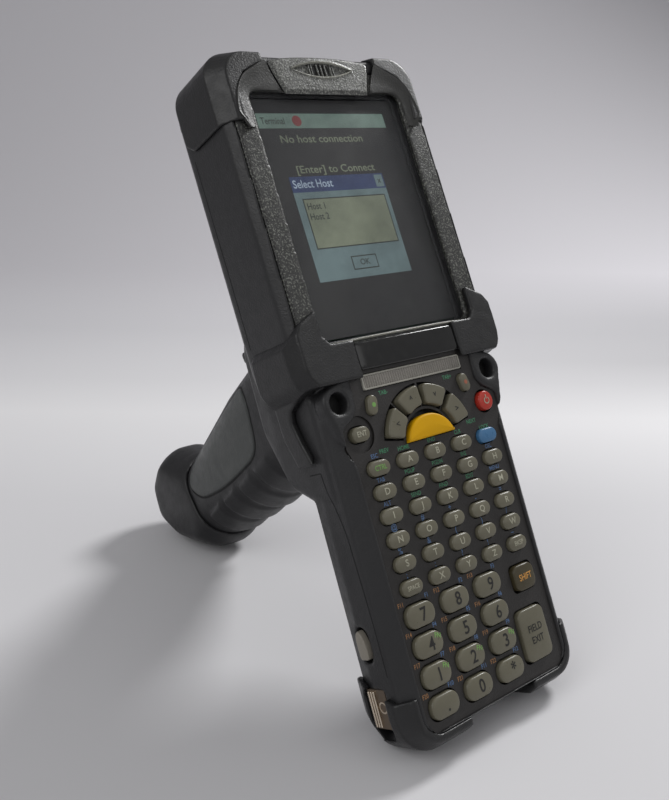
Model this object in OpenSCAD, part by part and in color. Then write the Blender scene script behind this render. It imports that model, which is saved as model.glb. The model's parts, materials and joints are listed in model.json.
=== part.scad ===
// Portable barcode data terminal with a pistol grip.
// It stands as it is set down on a table, on the heel of its grip and the edge of its foot
// bumper, with its display leaning back.
// Inside the modules X runs across the terminal, Y up along it and Z out of its keypad.
// Their origin is the middle of the first row of letter keys, on the face of the keypad plate.

/* [Stance] */
// Lean of the keypad back from upright, in degrees
lean = 25.5; // [20:0.5:30]

/* [Housing] */
// Distance from the outer letter keys to the flank
keypad_margin = 9.3; // [8.8:0.1:12]
// Distance from the first letter row down to the bottom end of the housing
body_bottom = 83.8; // [83:0.2:95]
// Depth of the keypad part behind the keypad plate
body_depth = 22; // [22:0.5:28]
// Depth at which the flanks turn in towards the back
belly_depth = 14; // [12:0.5:17]
// Height of the housing rim over the keypad plate
rim_rise = 1; // [0.6:0.1:1.6]
// Distance from the first letter row up to the bend where the head starts
bend_y = 33.4; // [33:0.2:35]
// Angle by which the head tilts back from the keypad, in degrees
head_tilt = 2.4; // [0:0.2:4]
// Width of the head
head_w = 86; // [85:1:94]
// Distance from the first letter row up to the top end of the head
head_top = 139.6; // [139:0.2:150]
// Depth of the head
head_depth = 33; // [33:0.5:40]
// Wall of the housing shells
wall = 2.2; // [1.6:0.1:2.6]

/* [Display] */
// Width of the opening over the display
view_w = 64; // [58:0.5:66]
// Lower edge of the opening over the display
view_y0 = 41.5; // [41.5:0.5:46]
// Upper edge of the opening over the display
view_y1 = 126; // [118:0.5:126]
// Thickness of the bezel round the display
bezel_t = 1.8; // [1.4:0.1:2.2]
// Thickness of the touch panel
glass_t = 1.2; // [0.8:0.1:1.6]
// Thickness of the display module
lcd_t = 4.6; // [3.5:0.1:5]

/* [Keypad] */
// Distance between the columns of letter keys
letter_dx = 12.4; // [12:0.1:13]
// Distance between the rows of letter keys
letter_dy = 7.64; // [7.4:0.02:7.7]
// Width of a letter key
letter_w = 8.8; // [8:0.1:9.6]
// Height of a letter key
letter_h = 5.2; // [4.6:0.1:5.4]
// Distance between the columns of number keys
number_dx = 15.4; // [14.4:0.1:15.6]
// Distance between the rows of number keys
number_dy = 9.5; // [9.3:0.1:9.6]
// Width of a number key
number_w = 12.2; // [11.4:0.1:12.4]
// Height of a number key
number_h = 7.8; // [7:0.1:7.9]
// Thickness of the keypad plate
plate_t = 1.6; // [1.2:0.1:2]
// Rise of the keys over the keypad plate
key_rise = 1.8; // [1.2:0.1:2.4]
// Travel of a key when it is pressed
key_travel = 0.8; // [0.4:0.1:0.9]
// Gap round a key in the keypad plate
key_gap = 0.25; // [0.15:0.05:0.3]

/* [Bumpers] */
// Thickness of the rubber bumpers
bumper_t = 2.2; // [1.6:0.1:2.6]
// Thickness of the top bumpers on the flanks of the head
top_side_t = 1.2; // [0.8:0.1:2]
// Thickness of the top bumpers on the back of the head
top_back_t = 0.8; // [0.6:0.1:2]
// Thickness of the boots under the bottom end
foot_t = 3.9; // [3:0.1:5]

/* [Grip] */
// Angle of the grip from square to the keypad, in degrees
grip_tilt = 19; // [16:0.5:21]
// Width of the grip
grip_w = 34; // [32:0.5:37]
// Distance along the grip from its root to its waist
grip_len = 124; // [120:1:128]
// Front to back thickness of the grip at its palm swell
grip_swell = 50; // [47:0.5:53]
// Front to back thickness of the grip at its waist
grip_waist = 38; // [36:0.5:41]
// Wall of the grip shells
grip_wall = 2.4; // [2:0.1:3]
// Depth of the grip base behind the keypad plate
base_depth = 183; // [180:0.5:187]
// Radius of the trigger pin
pin_r = 1.5; // [1.2:0.1:2]

/* [Battery] */
// Width of the battery pack
battery_w = 60; // [52:0.5:62]
// Length of the battery pack
battery_len = 67; // [60:0.5:67.5]
// Gap round the battery pack in its bay
battery_gap = 0.3; // [0.2:0.05:0.4]
// Travel of the battery latch buttons
latch_travel = 1.8; // [1:0.1:2]

/* [Hidden] */
$fn = 48;

// Colours
shell_colour = "#2e2e30";
rubber_colour = "#262627";
bezel_colour = "#8d8e8a";
plate_colour = "#35322f";
key_colour = "#8f8a78";
black_colour = "#121214";

// Housing
body_w = 2 * (2 * letter_dx + letter_w / 2 + keypad_margin);
rim_w = 5.9;
plate_side = body_w / 2 - rim_w;
rim_edge = 5;
rim_turn = -3.4;
seam_z = -14;
lower_top = 32;
head_back_w = head_w - 8;
head_turn = 6.5 - head_depth;
neck_depth = head_depth + 5;
corner_r = 10;
level_t = 0.1;
fit_gap = 0.1;
cavity_z = -4.4;

// Where the shells part, from the foot up to the bend, as Y and Z
seam_low = [[-100, -3.5], [-40, -4], [-15, -6.5], [4, -10.5], [bend_y, seam_z]];
seam_far = 160;

// Keypad
flange_gap = 0.1;
flange_t = 0.8;
flange_w = 0.55;
mat_z = -plate_t - flange_gap - flange_t - key_travel - fit_gap;
mat_t = 1.2;
board_t = 1.6;
ledge_w = 1.2;
number_x0 = number_w / 2 + 2.1 - plate_side;
number_y0 = -47;
number_r = 3.4;
ring_y = 3.6;
scan_r = 10.4;
scan_flat_y = 4.8;
nav_r0 = scan_r + 1.4;
nav_r1 = 19.4;
nav_span = 36;
nav_gap = 4;
nav_end_gap = 3.5;
nav_in = (nav_span + nav_gap) / 2;
nav_out = nav_in + nav_span + nav_end_gap;
nav_angles = [90 + nav_out, 90 + nav_in, 90 - nav_in, 90 - nav_out];
window_w = 44;
oval_at = [window_w / 2 - 1.1, 19.5];
side_key_at = [plate_side - 4.3, 11.6];
shift_at = [plate_side - 9.2, -49.6];
field_at = [plate_side - 11.3, -68.6];
dish_r = 5.9;
name_x = 22.3;
name_h = 9;
window_y = 27;
window_h = 5;
window_top = window_y + 2;
window_rise = 0.5;
window_lip = 1.3;
screw_at = [body_w / 2 - 5, 22.5];
ear_r = 5;
ear_rise = 1.4;
ear_low = 13;
screw_hole_r = 3.4;
screw_hole_z = -6;

// Display
view_mid = (view_y0 + view_y1) / 2;
view_h = view_y1 - view_y0;
glass_z = -bezel_t;
lcd_z = glass_z - glass_t - 0.3;
lcd_w = view_w - 3;
board_z = lcd_z - lcd_t - fit_gap;

// Grip, with its axis through this point on the back of the neck
grip_root = [41, -30];
swell_t = 66;
pin_at = [20, 12];
trigger_len = 38;
trigger_w = 14;
trigger_pull = 9;
trigger_reach = 10;
blade_t = 7;
switch_t = 32;
plunger_r = 1.6;
rib_t0 = 57;
rib_pitch = 16;
rib_w = 11;
rib_rise = 1.5;

// Ground, found from the edge of the foot bumper, and the heel that meets it
foot_y = -body_bottom - foot_t;
foot_turn = 16;
ground = foot_y * cos(lean) - foot_turn * sin(lean);
heel_r = 11;
heel_z = -163;
heel_y = (ground + heel_r - heel_z * sin(lean)) / cos(lean);
toe_r = 10;
toe_y = 11;
toe_z = -base_depth + toe_r;
sole_w = 10;
boot_lip = 2.4;
brow_at = [17.5, -165.5];
brow_r = 10;
cuff_at = [-10.6, -146];
cuff_r = 10;
front_y = (foot_y + boot_lip) * sin(lean) - rim_rise * cos(lean);
back_y = toe_y * sin(lean) - toe_z * cos(lean) + toe_r;
mid_y = (front_y + back_y) / 2;

// Battery
pocket_at = [-74, -13.5];
pocket_l = 17;
pocket_h = 11.6;
pocket_r = 4;
battery_y1 = -10.6;
tray_z = mat_z - mat_t - board_t - 0.8;
tray_t = 1.6;
battery_z = tray_z - tray_t - battery_gap;
latch_at = [-52.3, -13.4];
latch_l = 11;
latch_h = 5.4;
latch_wall = 0.8;

// Contact plates of the cradle, one on each flank
contact_l = 12.5;
contact_h = 8.6;
contact_x0 = body_w / 2 - 1.2;
contact_t = 1;

// ---- Placing ----

// From the terminal's own axes to where it stands
module place() {
    translate([0, -mid_y, -ground]) rotate([90 - lean, 0, 0]) children();
}

module head_frame() {
    translate([0, bend_y, 0]) rotate([-head_tilt, 0, 0]) translate([0, -bend_y, 0]) children();
}

// Z runs down the grip, Y towards its trigger side, and X towards the terminal's left
module grip_frame() {
    translate([0, grip_root[0], grip_root[1]])
    rotate([-grip_tilt, 0, 0]) rotate([0, 180, 0]) children();
}

// ---- Flat outlines ----

module stadium(w, h) {
    square([w - h, h], center = true);
    for (s = [-1, 1]) translate([s * (w - h) / 2, 0]) circle(h / 2);
}

module round_rect(w, h, r) {
    square([w - 2 * r, h], center = true);
    square([w, h - 2 * r], center = true);
    for (x = [-1, 1], y = [-1, 1]) translate([x * (w / 2 - r), y * (h / 2 - r)]) circle(r);
}

module ring_sector(r0, r1, mid, half) {
    far = 2 * r1;
    intersection() {
        difference() {
            circle(r1);
            circle(r0);
        }
        polygon([[0, 0], far * [cos(mid - half), sin(mid - half)],
            far * [cos(mid), sin(mid)], far * [cos(mid + half), sin(mid + half)]]);
    }
}

// Outline of the keypad plate, which narrows beside the screw ears
module plate_outline(g = 0) {
    side = plate_side + g;
    ear = 27 + g;
    low = -body_bottom + 1.4 - g;
    high = 31 + g;
    polygon([[-side + 2.5, low], [side - 2.5, low], [side, low + 4], [side, 2], [side + 2, 8],
        [side + 2, 14], [ear + 2, 17], [ear, 20], [ear, high], [-ear, high], [-ear, 20],
        [-ear - 2, 17], [-side - 2, 14], [-side - 2, 8], [-side, 2], [-side, low + 4]]);
}

// ---- Housing forms ----

// Four discs at the corners of a rounded rectangle, from z0 up to z1, for a level of a form
module level(w, y0, y1, r, z0, z1) {
    for (x = [-1, 1], y = [y0 + r, y1 - r])
        translate([x * (w / 2 - r), y, z0]) cylinder(r = r, h = z1 - z0, $fn = 32);
}

module lower_form() {
    low = -body_bottom;
    back = -body_depth;
    hull() {
        level(body_w - 2 * rim_edge, low + 1, lower_top, corner_r - 3, rim_rise - level_t,
            rim_rise);
        level(body_w, low, lower_top, corner_r, -belly_depth, rim_turn);
        level(body_w - 5, low + 7, lower_top, corner_r - 2, back, back + level_t);
    }
}

module neck_form(g = 0) {
    back = -neck_depth - g;
    hull() {
        level(body_w + 1 + 2 * g, -18, 60, corner_r + 4, -8, -7);
        level(body_w + 0.5 + 2 * g, -3, 66, corner_r - 2, back + 8, back + 9);
        level(body_w - 1.5 + 2 * g, 13, 54, corner_r - 1, back, back + level_t);
    }
}

module head_form(g = 0) {
    low = bend_y - 6 - g;
    high = head_top + g;
    back = -head_depth - g;
    hull() {
        level(head_w - 5 + 2 * g, low + 1, high - 2, corner_r - 1, g - level_t, g);
        level(head_w + 2 * g, low, high, corner_r, head_turn, -3.5);
        level(head_back_w + 2 * g, low + 6, high - 5, corner_r - 2, back, back + level_t);
    }
}

module housing_form() {
    lower_form();
    neck_form();
    head_frame() head_form();
}

// The hollow inside the two shells
module housing_hollow() {
    low_w = body_w - 2 * wall;
    head_in = head_w - 2 * wall;
    low = wall - body_bottom;
    high = head_top - wall;
    in_r = corner_r - wall;
    hull() {
        level(low_w, low, lower_top, in_r, -belly_depth, cavity_z);
        level(low_w - 5, low + 7, lower_top, in_r - 1, wall - body_depth, wall + 1 - body_depth);
    }
    hull() {
        level(low_w, -8, 60, corner_r, -9, -8);
        level(low_w - 10, 18, 58, corner_r - 1, wall - neck_depth, wall + 1 - neck_depth);
    }
    head_frame() hull() {
        level(head_in, bend_y - 3, high, in_r, head_turn + 2.5, cavity_z);
        level(head_in - 8, bend_y, high - 4, in_r - 1, wall - head_depth, wall + 1 - head_depth);
    }
}

// Everything in front of the seam, or behind it
module seam_side(front) {
    z_far = seam_z - tan(head_tilt) * (seam_far - bend_y);
    edge = front ? 60 : -90;
    rotate([90, 0, 90]) translate([0, 0, -80]) linear_extrude(160)
        polygon(concat([[seam_low[0][0], edge]], seam_low, [[seam_far, z_far], [seam_far, edge]]));
}

// ---- Shells ----

// The opening under the keypad plate, inside the ledge that the plate rests on
module keypad_window() {
    translate([0, 0, tray_z]) linear_extrude(20) intersection() {
        plate_outline(-ledge_w);
        translate([-60, window_top - 150]) square([120, 150]);
    }
}

// Raised shoulder round a screw ear, which runs down beside the keypad plate
module ear_shoulder(side) {
    translate([0, 0, -4]) linear_extrude(4 + ear_rise) {
        translate([side * (screw_at[0] + 0.5), screw_at[1]]) circle(ear_r + 0.5);
        translate([side * (screw_at[0] - 1.5), ear_low]) circle(ear_r);
        polygon([[side * (screw_at[0] + ear_r + 1), screw_at[1]],
            [side * (screw_at[0] + ear_r - 1.5), ear_low], [side * 28, ear_low],
            [side * 28, screw_at[1]]]);
    }
}

module front_housing() {
    color(shell_colour) place() difference() {
        union() {
            intersection() {
                difference() {
                    housing_form();
                    housing_hollow();
                }
                seam_side(true);
            }
            for (s = [-1, 1]) {
                translate([s * screw_at[0], screw_at[1], -12]) cylinder(r = ear_r, h = 13);
                ear_shoulder(s);
            }
        }
        // Seat and window of the keypad
        translate([0, 0, -plate_t - fit_gap]) linear_extrude(10) plate_outline(fit_gap);
        keypad_window();
        for (s = [-1, 1]) translate([s * screw_at[0], screw_at[1], 0]) {
            translate([0, 0, screw_hole_z]) cylinder(r = screw_hole_r, h = 20);
            translate([0, 0, -20]) cylinder(r = 1.6, h = 30);
        }
        head_frame() {
            bezel_seat();
            translate([0, view_mid, glass_z - glass_t - fit_gap / 2]) linear_extrude(10)
                square([view_w + 3 + fit_gap, view_h + 3 + fit_gap], center = true);
            translate([0, view_mid, -12]) linear_extrude(20)
                square([lcd_w + 2 * fit_gap, view_h - 2], center = true);
            beeper_well(fit_gap);
            name_block(fit_gap);
        }
    }
}

module rear_housing() {
    bay_y0 = battery_y1 - battery_len - battery_gap;
    bay_w = battery_w + 2 * battery_gap;
    color(shell_colour) place() difference() {
        intersection() {
            union() {
                difference() {
                    housing_form();
                    housing_hollow();
                }
                // Tray of the battery bay, with blocks that guide the latch buttons
                intersection() {
                    lower_form();
                    translate([-body_w / 2, bay_y0 - wall, tray_z - body_depth])
                        cube([body_w, battery_len + 2 * battery_gap + 2 * wall, body_depth]);
                }
                for (s = [-1, 1]) translate([s * screw_at[0], screw_at[1], -26])
                    cylinder(r = ear_r - 1, h = 13);
            }
            seam_side(false);
        }
        translate([-bay_w / 2, bay_y0, -60])
            cube([bay_w, battery_len + 2 * battery_gap, 60 + battery_z + battery_gap]);
        keypad_window();
        contact_plate(fit_gap, 5);
        for (s = [-1, 1]) {
            translate([s * screw_at[0], screw_at[1], -22]) cylinder(r = 1.5, h = 20);
            latch_form(s, battery_gap, latch_travel + battery_gap, 20);
        }
        head_frame() {
            translate([0, head_top, scan_z]) cube([scan_w, 20, scan_h], center = true);
        }
    }
}

module keypad_plate() {
    color(plate_colour) place() difference() {
        translate([0, 0, -plate_t]) linear_extrude(plate_t) difference() {
            plate_outline();
            translate([0, window_y]) square([window_w + 2 * key_gap, window_h + 2 * key_gap],
                center = true);
            every_cap(key_gap);
        }
        translate([-side_key_at[0], side_key_at[1], -plate_t / 2]) cylinder(r = dish_r, h = 5);
    }
}

// ---- Display ----

module bezel_outline(g = 0) {
    translate([0, (bend_y + head_top) / 2 - 4])
        round_rect(head_w - 6 + 2 * g, head_top - bend_y - 5 + 2 * g, corner_r - 2);
}

module bezel_seat() {
    translate([0, 0, -bezel_t - fit_gap / 2]) linear_extrude(10) bezel_outline(fit_gap);
}

module display_bezel() {
    color(bezel_colour) place() head_frame() difference() {
        translate([0, 0, -bezel_t]) linear_extrude(bezel_t) difference() {
            bezel_outline();
            translate([0, view_mid]) round_rect(view_w, view_h, 2.5);
        }
        beeper_well(fit_gap);
    }
}

module touch_panel() {
    color("#1b2226") place() head_frame()
        translate([0, view_mid, glass_z - glass_t]) linear_extrude(glass_t)
            square([view_w + 3, view_h + 3], center = true);
}

module lcd_module() {
    color("#9db3a5") place() head_frame()
        translate([0, view_mid, lcd_z - lcd_t]) linear_extrude(lcd_t)
            square([lcd_w, view_h - 3], center = true);
}

// ---- Top end ----

beeper_y = 124.8;
beeper_t = 2;
eye_y = 132.6;
eye_h = 5;
eye_r = 38;

module beeper_outline(g = 0) {
    top = head_top - 3.5;
    polygon([[-17.6 - g, beeper_y - g], [17.6 + g, beeper_y - g], [22 + g, top + g],
        [-22 - g, top + g]]);
}

module beeper_well(g = 0) {
    translate([0, 0, -1]) linear_extrude(10) beeper_outline(g);
}

module beeper_cover() {
    color(bezel_colour) place() head_frame() difference() {
        translate([0, 0, -1 + fit_gap / 2]) linear_extrude(beeper_t) beeper_outline();
        // Eye-shaped hollow and three sound slots
        translate([0, eye_y, 0.4]) linear_extrude(5) intersection() {
            translate([0, eye_h / 2 - eye_r]) circle(eye_r, $fn = 96);
            translate([0, eye_r - eye_h / 2]) circle(eye_r, $fn = 96);
        }
        for (i = [-1, 0, 1]) translate([i * 2.2, eye_y, 0]) cube([0.9, 3, 10], center = true);
    }
}

module beeper() {
    color(black_colour) place() head_frame()
        translate([0, 131.5, cavity_z - 3.2]) cylinder(r = 5, h = 3);
}

scan_w = 40;
scan_h = 11.5;
scan_z = -20.4;

module scan_window() {
    color("#3a1418") place() head_frame()
        translate([0, head_top - wall / 2 - 0.3, scan_z])
            cube([scan_w - 0.2, wall - 0.6, scan_h - 0.2], center = true);
}

module scan_engine() {
    depth = 22;
    color("#3c4043") place() head_frame() {
        translate([0, head_top - wall - 1.2 - depth / 2, scan_z])
            cube([scan_w - 8, depth, scan_h - 1], center = true);
        translate([0, head_top - wall - 0.7, scan_z]) rotate([90, 0, 0])
            cylinder(r = 4.5, h = 1, center = true);
    }
}

module name_block(g = 0) {
    translate([0, bend_y + 1.9, fit_gap / 2 - g]) linear_extrude(bumper_t - 0.6 + 2 * g)
        square([2 * name_x - 0.6 + 2 * g, name_h + 2 * g], center = true);
}

module name_plate() {
    color(black_colour) place() head_frame() name_block();
}

module status_window() {
    color("#b7b5ac") place() {
        translate([-window_w / 2, window_y - window_h / 2, -plate_t])
            cube([window_w, window_h, plate_t + window_rise]);
        translate([-window_w / 2 - window_lip, window_y - window_h / 2, -plate_t - window_lip])
            cube([window_w + 2 * window_lip, window_top - fit_gap - window_y + window_h / 2,
                window_lip]);
    }
}

// ---- Boards ----

main_w = head_w - 10;
main_y = bend_y + 4;
main_h = 74;
card_t = 4;
cell_t = 3.2;
rail_t = 2.4;

module main_board() {
    color("#1f5a3c") place() head_frame() {
        back = board_z - board_t;
        translate([-main_w / 2, main_y, back]) cube([main_w, main_h, board_t]);
        // Radio card, backup cell and plug rail on the back of the board
        translate([8 - main_w / 2, main_y + 33, back - card_t]) cube([40, 32, card_t]);
        translate([main_w / 2 - 14, main_y + 23, back - cell_t]) cylinder(r = 10, h = cell_t);
        translate([-main_w / 2, main_y + 21, back - rail_t]) cube([main_w - 14, 8, rail_t]);
    }
}

// The rubber mat and the switch board under the keys, as one piece
module keypad_board() {
    board_top = window_top - 2 * fit_gap;
    color("#4a6b52") place() translate([0, 0, mat_z - mat_t - board_t])
        linear_extrude(mat_t + board_t) intersection() {
            plate_outline(-ledge_w - 2 * fit_gap);
            translate([-60, board_top - 150]) square([120, 150]);
        }
}

// ---- Keys ----

module letter_cap(g = 0) stadium(letter_w + 2 * g, letter_h + 2 * g);
module number_cap(g = 0) round_rect(number_w + 2 * g, number_h + 2 * g, number_r + g);
module shift_cap(g = 0) round_rect(10.6 + 2 * g, 9.2 + 2 * g, 1.6 + g);
module field_cap(g = 0) round_rect(13.6 + 2 * g, 18 + 2 * g, 2 + g);
module oval_cap(g = 0) stadium(6.4 + 2 * g, 3.9 + 2 * g);
module enter_cap(g = 0) stadium(7.6 + 2 * g, 5.2 + 2 * g);
module power_cap(g = 0) circle(3.9 + g);

module scan_cap(g = 0) {
    intersection() {
        circle(scan_r + g);
        translate([-30, scan_flat_y - ring_y - g]) square([60, 30]);
    }
}

module nav_cap(i, g = 0) {
    ring_sector(nav_r0 - g, nav_r1 + g, nav_angles[i], nav_span / 2 + g * 3.6);
}

function letter_at(row, col) = [(col - 3) * letter_dx, (1 - row) * letter_dy];
function number_at(row, col) =
    [number_x0 + (col - 1) * number_dx, number_y0 - (row - 1) * number_dy];

module every_cap(g) {
    for (row = [1:6], col = [1:5]) translate(letter_at(row, col)) letter_cap(g);
    for (row = [1:4], col = [1:3]) translate(number_at(row, col)) number_cap(g);
    for (i = [0:3]) translate([0, ring_y]) nav_cap(i, g);
    translate([0, ring_y]) scan_cap(g);
    translate(shift_at) shift_cap(g);
    translate(field_at) field_cap(g);
    for (s = [-1, 1]) translate([s * oval_at[0], oval_at[1]]) rotate(90 + s * 12) oval_cap(g);
    translate([-side_key_at[0], side_key_at[1]]) enter_cap(g);
    translate(side_key_at) power_cap(g);
}

// A key: its cap, the first child, over a flange that stays under the plate, the second
module key_body(at, turn = 0) {
    translate([at[0], at[1], -plate_t - flange_gap]) rotate(turn) {
        linear_extrude(plate_t + flange_gap + key_rise) children(0);
        translate([0, 0, -flange_t]) linear_extrude(flange_t) children(1);
    }
}

module letter_keys(row, last = 5) {
    color(key_colour) place() for (col = [1:last]) key_body(letter_at(row, col)) {
        letter_cap();
        letter_cap(flange_w);
    }
}

module number_key(row, col) {
    color(key_colour) place() key_body(number_at(row, col)) {
        number_cap();
        number_cap(flange_w);
    }
}

module nav_key(i) {
    color(key_colour) place() key_body([0, ring_y]) {
        nav_cap(i);
        nav_cap(i, flange_w - 0.2);
    }
}

module oval_key(side) {
    color(key_colour) place() key_body([side * oval_at[0], oval_at[1]], 90 + side * 12) {
        oval_cap();
        oval_cap(flange_w);
    }
}

module scan_key() {
    color("#e0a020") place() key_body([0, ring_y]) {
        scan_cap();
        scan_cap(flange_w);
    }
}

module power_key() {
    color("#b8232a") place() key_body(side_key_at) {
        power_cap();
        power_cap(flange_w);
    }
}

module enter_key() {
    color(key_colour) place() key_body([-side_key_at[0], side_key_at[1]]) {
        enter_cap();
        enter_cap(flange_w);
    }
}

module blue_key() {
    color("#2d6fb0") place() key_body(letter_at(1, 5)) {
        letter_cap();
        letter_cap(flange_w);
    }
}

module shift_key() {
    color("#5d5636") place() key_body(shift_at) {
        shift_cap();
        shift_cap(flange_w);
    }
}

module field_key() {
    color(key_colour) place() key_body(field_at) {
        field_cap();
        field_cap(flange_w);
    }
}

// ---- Battery ----

module battery_pack() {
    color(shell_colour) place() intersection() {
        lower_form();
        translate([-battery_w / 2, battery_y1 - battery_len, -body_depth - 5])
            cube([battery_w, battery_len, body_depth + 5 + battery_z]);
    }
}

// A latch button's form on the flank, grown by g and lengthened inwards and outwards
module latch_form(side, g = 0, inward = 0, outward = 0.8) {
    inner = battery_w / 2 + 2 * battery_gap + latch_wall + latch_travel - inward;
    reach = body_w / 2 + outward - inner;
    translate([side > 0 ? inner : -inner - reach, latch_at[0], latch_at[1]])
        rotate([90, 0, 90]) linear_extrude(reach)
            stadium(latch_l + 2 * g, latch_h + 2 * g);
}

module battery_latch(side) {
    color(key_colour) place() latch_form(side);
}

// ---- Bumpers ----

// Outline of a top bumper, seen from the front
top_bumper_edge = [[80, 115], [39.6, 115], [34.6, 111.5], [36.2, 118], [36, 127], [33, 131.5],
    [24, head_top - 4], [24, head_top + 20], [80, head_top + 20]];

// Outline of the top bumpers, seen from the side, as Y and Z
top_bumper_side = [[115.5, 20], [115.5, -21], [118.5, -24.6], [127, -28.5], [131, -50],
    [170, -50], [170, 20]];

module top_bumper_form() {
    rise = 1.4;
    back = -head_depth - top_back_t;
    hull() {
        level(head_w - 7, 90, head_top - 1.2, corner_r - 1, rise - level_t, rise);
        level(head_w + 2 * top_side_t, 90, head_top + top_side_t - 0.4, corner_r,
            head_turn + 2, -4);
        level(head_w - 9, 90, head_top - 3, corner_r - 1, back, back + level_t);
    }
}

module bumper_skin() {
    difference() {
        children();
        housing_form();
    }
}

module top_bumper(side) {
    color(rubber_colour) place() bumper_skin() head_frame() intersection() {
        top_bumper_form();
        linear_extrude(120, center = true)
            polygon([for (p = top_bumper_edge) [side * p[0], p[1]]]);
        rotate([90, 0, 90]) linear_extrude(160, center = true) polygon(top_bumper_side);
    }
}

// What a side bumper covers: a block round the lower corner of the head and a leg that
// runs down the flank
module side_bumper_reach(side) {
    leg_foot = 3;
    intersection() {
        rotate([90, 0, 90]) linear_extrude(160, center = true)
            polygon([[46.6, -23.4], [46.6, -6], [53, 0], [53, 20], [28.5, 20], [28.5, -1.5],
                [26.2, -10.6], [23.8, -14.9], [20.5, -15.7], [13.8, -13.6], [leg_foot, -8.9],
                [leg_foot, -17], [16, -22.4], [28, -23.2]]);
        linear_extrude(160, center = true) polygon([
            [side * name_x, 28], [side * 80, -40], [side * 80, 42], [side * 45.4, 42],
            [side * 40.5, 48.6], [side * 33.5, 52], [side * 33.5, view_y0 + 2],
            [side * 31, view_y0 - 0.8], [side * name_x, view_y0 - 0.8]]);
    }
}

module side_bumper(side) {
    color(rubber_colour) place() bumper_skin() intersection() {
        union() {
            head_frame() head_form(bumper_t);
            neck_form(bumper_t);
        }
        side_bumper_reach(side);
    }
}

// What the foot bumper covers: two corner boots joined by a strip under the bottom end
module foot_reach() {
    low = -body_bottom;
    boot_x = 15;
    intersection() {
        for (s = [-1, 1]) linear_extrude(120, center = true) polygon([[s * boot_x, low + 1.2],
            [s * 31.2, low + 2.4], [s * 33.5, low + 14], [s * 36, low + 24], [s * 80, low + 24],
            [s * 80, low - 20], [s * (boot_x + 1), low - 20]]);
        rotate([90, 0, 90]) linear_extrude(160, center = true) polygon([[low - 20, 20],
            [low + 14, 20], [low + 14, -4], [low + 20.5, -22], [low + 20.5, -60],
            [low - 20, -60]]);
    }
    translate([-boot_x - 3, low - bumper_t, -18]) cube([2 * boot_x + 6, 3 * bumper_t, 10]);
}

module foot_form() {
    g = bumper_t;
    back = -body_depth - g;
    hull() {
        level(body_w - 2 * rim_edge + 2 * g, foot_y + boot_lip, lower_top, corner_r - 2,
            rim_rise - level_t, rim_rise);
        level(body_w + 2 * g, foot_y, lower_top, corner_r + 2, -foot_turn, rim_turn);
        level(body_w + 2 * g - 8, foot_y + 4.5, lower_top, corner_r, back, back + level_t);
    }
}

// Pocket on a flank, in which a contact plate lies
module contact_pocket() {
    translate([-body_w, pocket_at[0], pocket_at[1]]) rotate([90, 0, 90]) linear_extrude(2 * body_w)
        round_rect(pocket_l, pocket_h, pocket_r);
}

module foot_bumper() {
    color(rubber_colour) place() difference() {
        bumper_skin() intersection() {
            foot_form();
            foot_reach();
        }
        contact_pocket();
    }
}

// Both contact plates, grown by g and lengthened outwards
module contact_plate(g = 0, outward = 0) {
    for (s = [-1, 1]) translate([s * (contact_x0 + (contact_t + outward) / 2), pocket_at[0] + 1.5,
        pocket_at[1]]) cube([contact_t + outward, contact_l + 2 * g, contact_h + 2 * g],
            center = true);
}

module contact_plates() {
    color("#a08060") place() contact_plate();
}

// ---- Grip ----

// A cross-section of the grip, as thick from front to back as thick, t along the grip
module grip_level(t, w, thick) {
    for (s = [-1, 1]) translate([0, s * (thick - w) / 2, t])
        cylinder(r = w / 2, h = level_t, $fn = 32);
}

module grip_form(g = 0) {
    root_t = -14;
    hull() {
        grip_level(root_t, grip_w + 2 * g, grip_swell + 4 + 2 * g);
        grip_level(swell_t, grip_w + 2 * g, grip_swell + 2 * g);
    }
    hull() {
        grip_level(swell_t, grip_w + 2 * g, grip_swell + 2 * g);
        grip_level(grip_len, grip_w - 3 + 2 * g, grip_waist + 2 * g);
    }
}

// Ribs across the palm side of the grip
module grip_ribs() {
    for (i = [0:3]) {
        t = rib_t0 + i * rib_pitch;
        thick = grip_swell - max(0, t - swell_t) / (grip_len - swell_t) * (grip_swell - grip_waist);
        translate([0, 0, t - rib_w / 2]) linear_extrude(rib_w) difference() {
            rotate(90) stadium(thick + 2 * rib_rise, grip_w + rib_rise);
            translate([0, 50 - thick / 4]) square([100, 100], center = true);
            rotate(90) stadium(thick - 2, grip_w - 2);
        }
    }
}

module grip_shell(side) {
    color(shell_colour) place() difference() {
        intersection() {
            grip_frame() difference() {
                union() {
                    difference() {
                        grip_form();
                        grip_form(-grip_wall);
                    }
                    grip_ribs();
                    // Ear that carries the trigger pin
                    translate([-side * 11, pin_at[0], pin_at[1]]) cube([6.6, 8, 8], center = true);
                }
                trigger_slot();
                translate([0, pin_at[0], pin_at[1]]) rotate([0, 90, 0])
                    cylinder(r = pin_r + 0.02, h = 28, center = true);
            }
            translate([side > 0 ? 0 : -60, -100, -250]) cube([60, 250, 300]);
        }
        neck_form();
        head_frame() head_form();
    }
}

module trigger_slot() {
    translate([0, pin_at[0] + 11, pin_at[1] + 16]) cube([trigger_w + 0.6, 30, 50], center = true);
}

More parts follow.
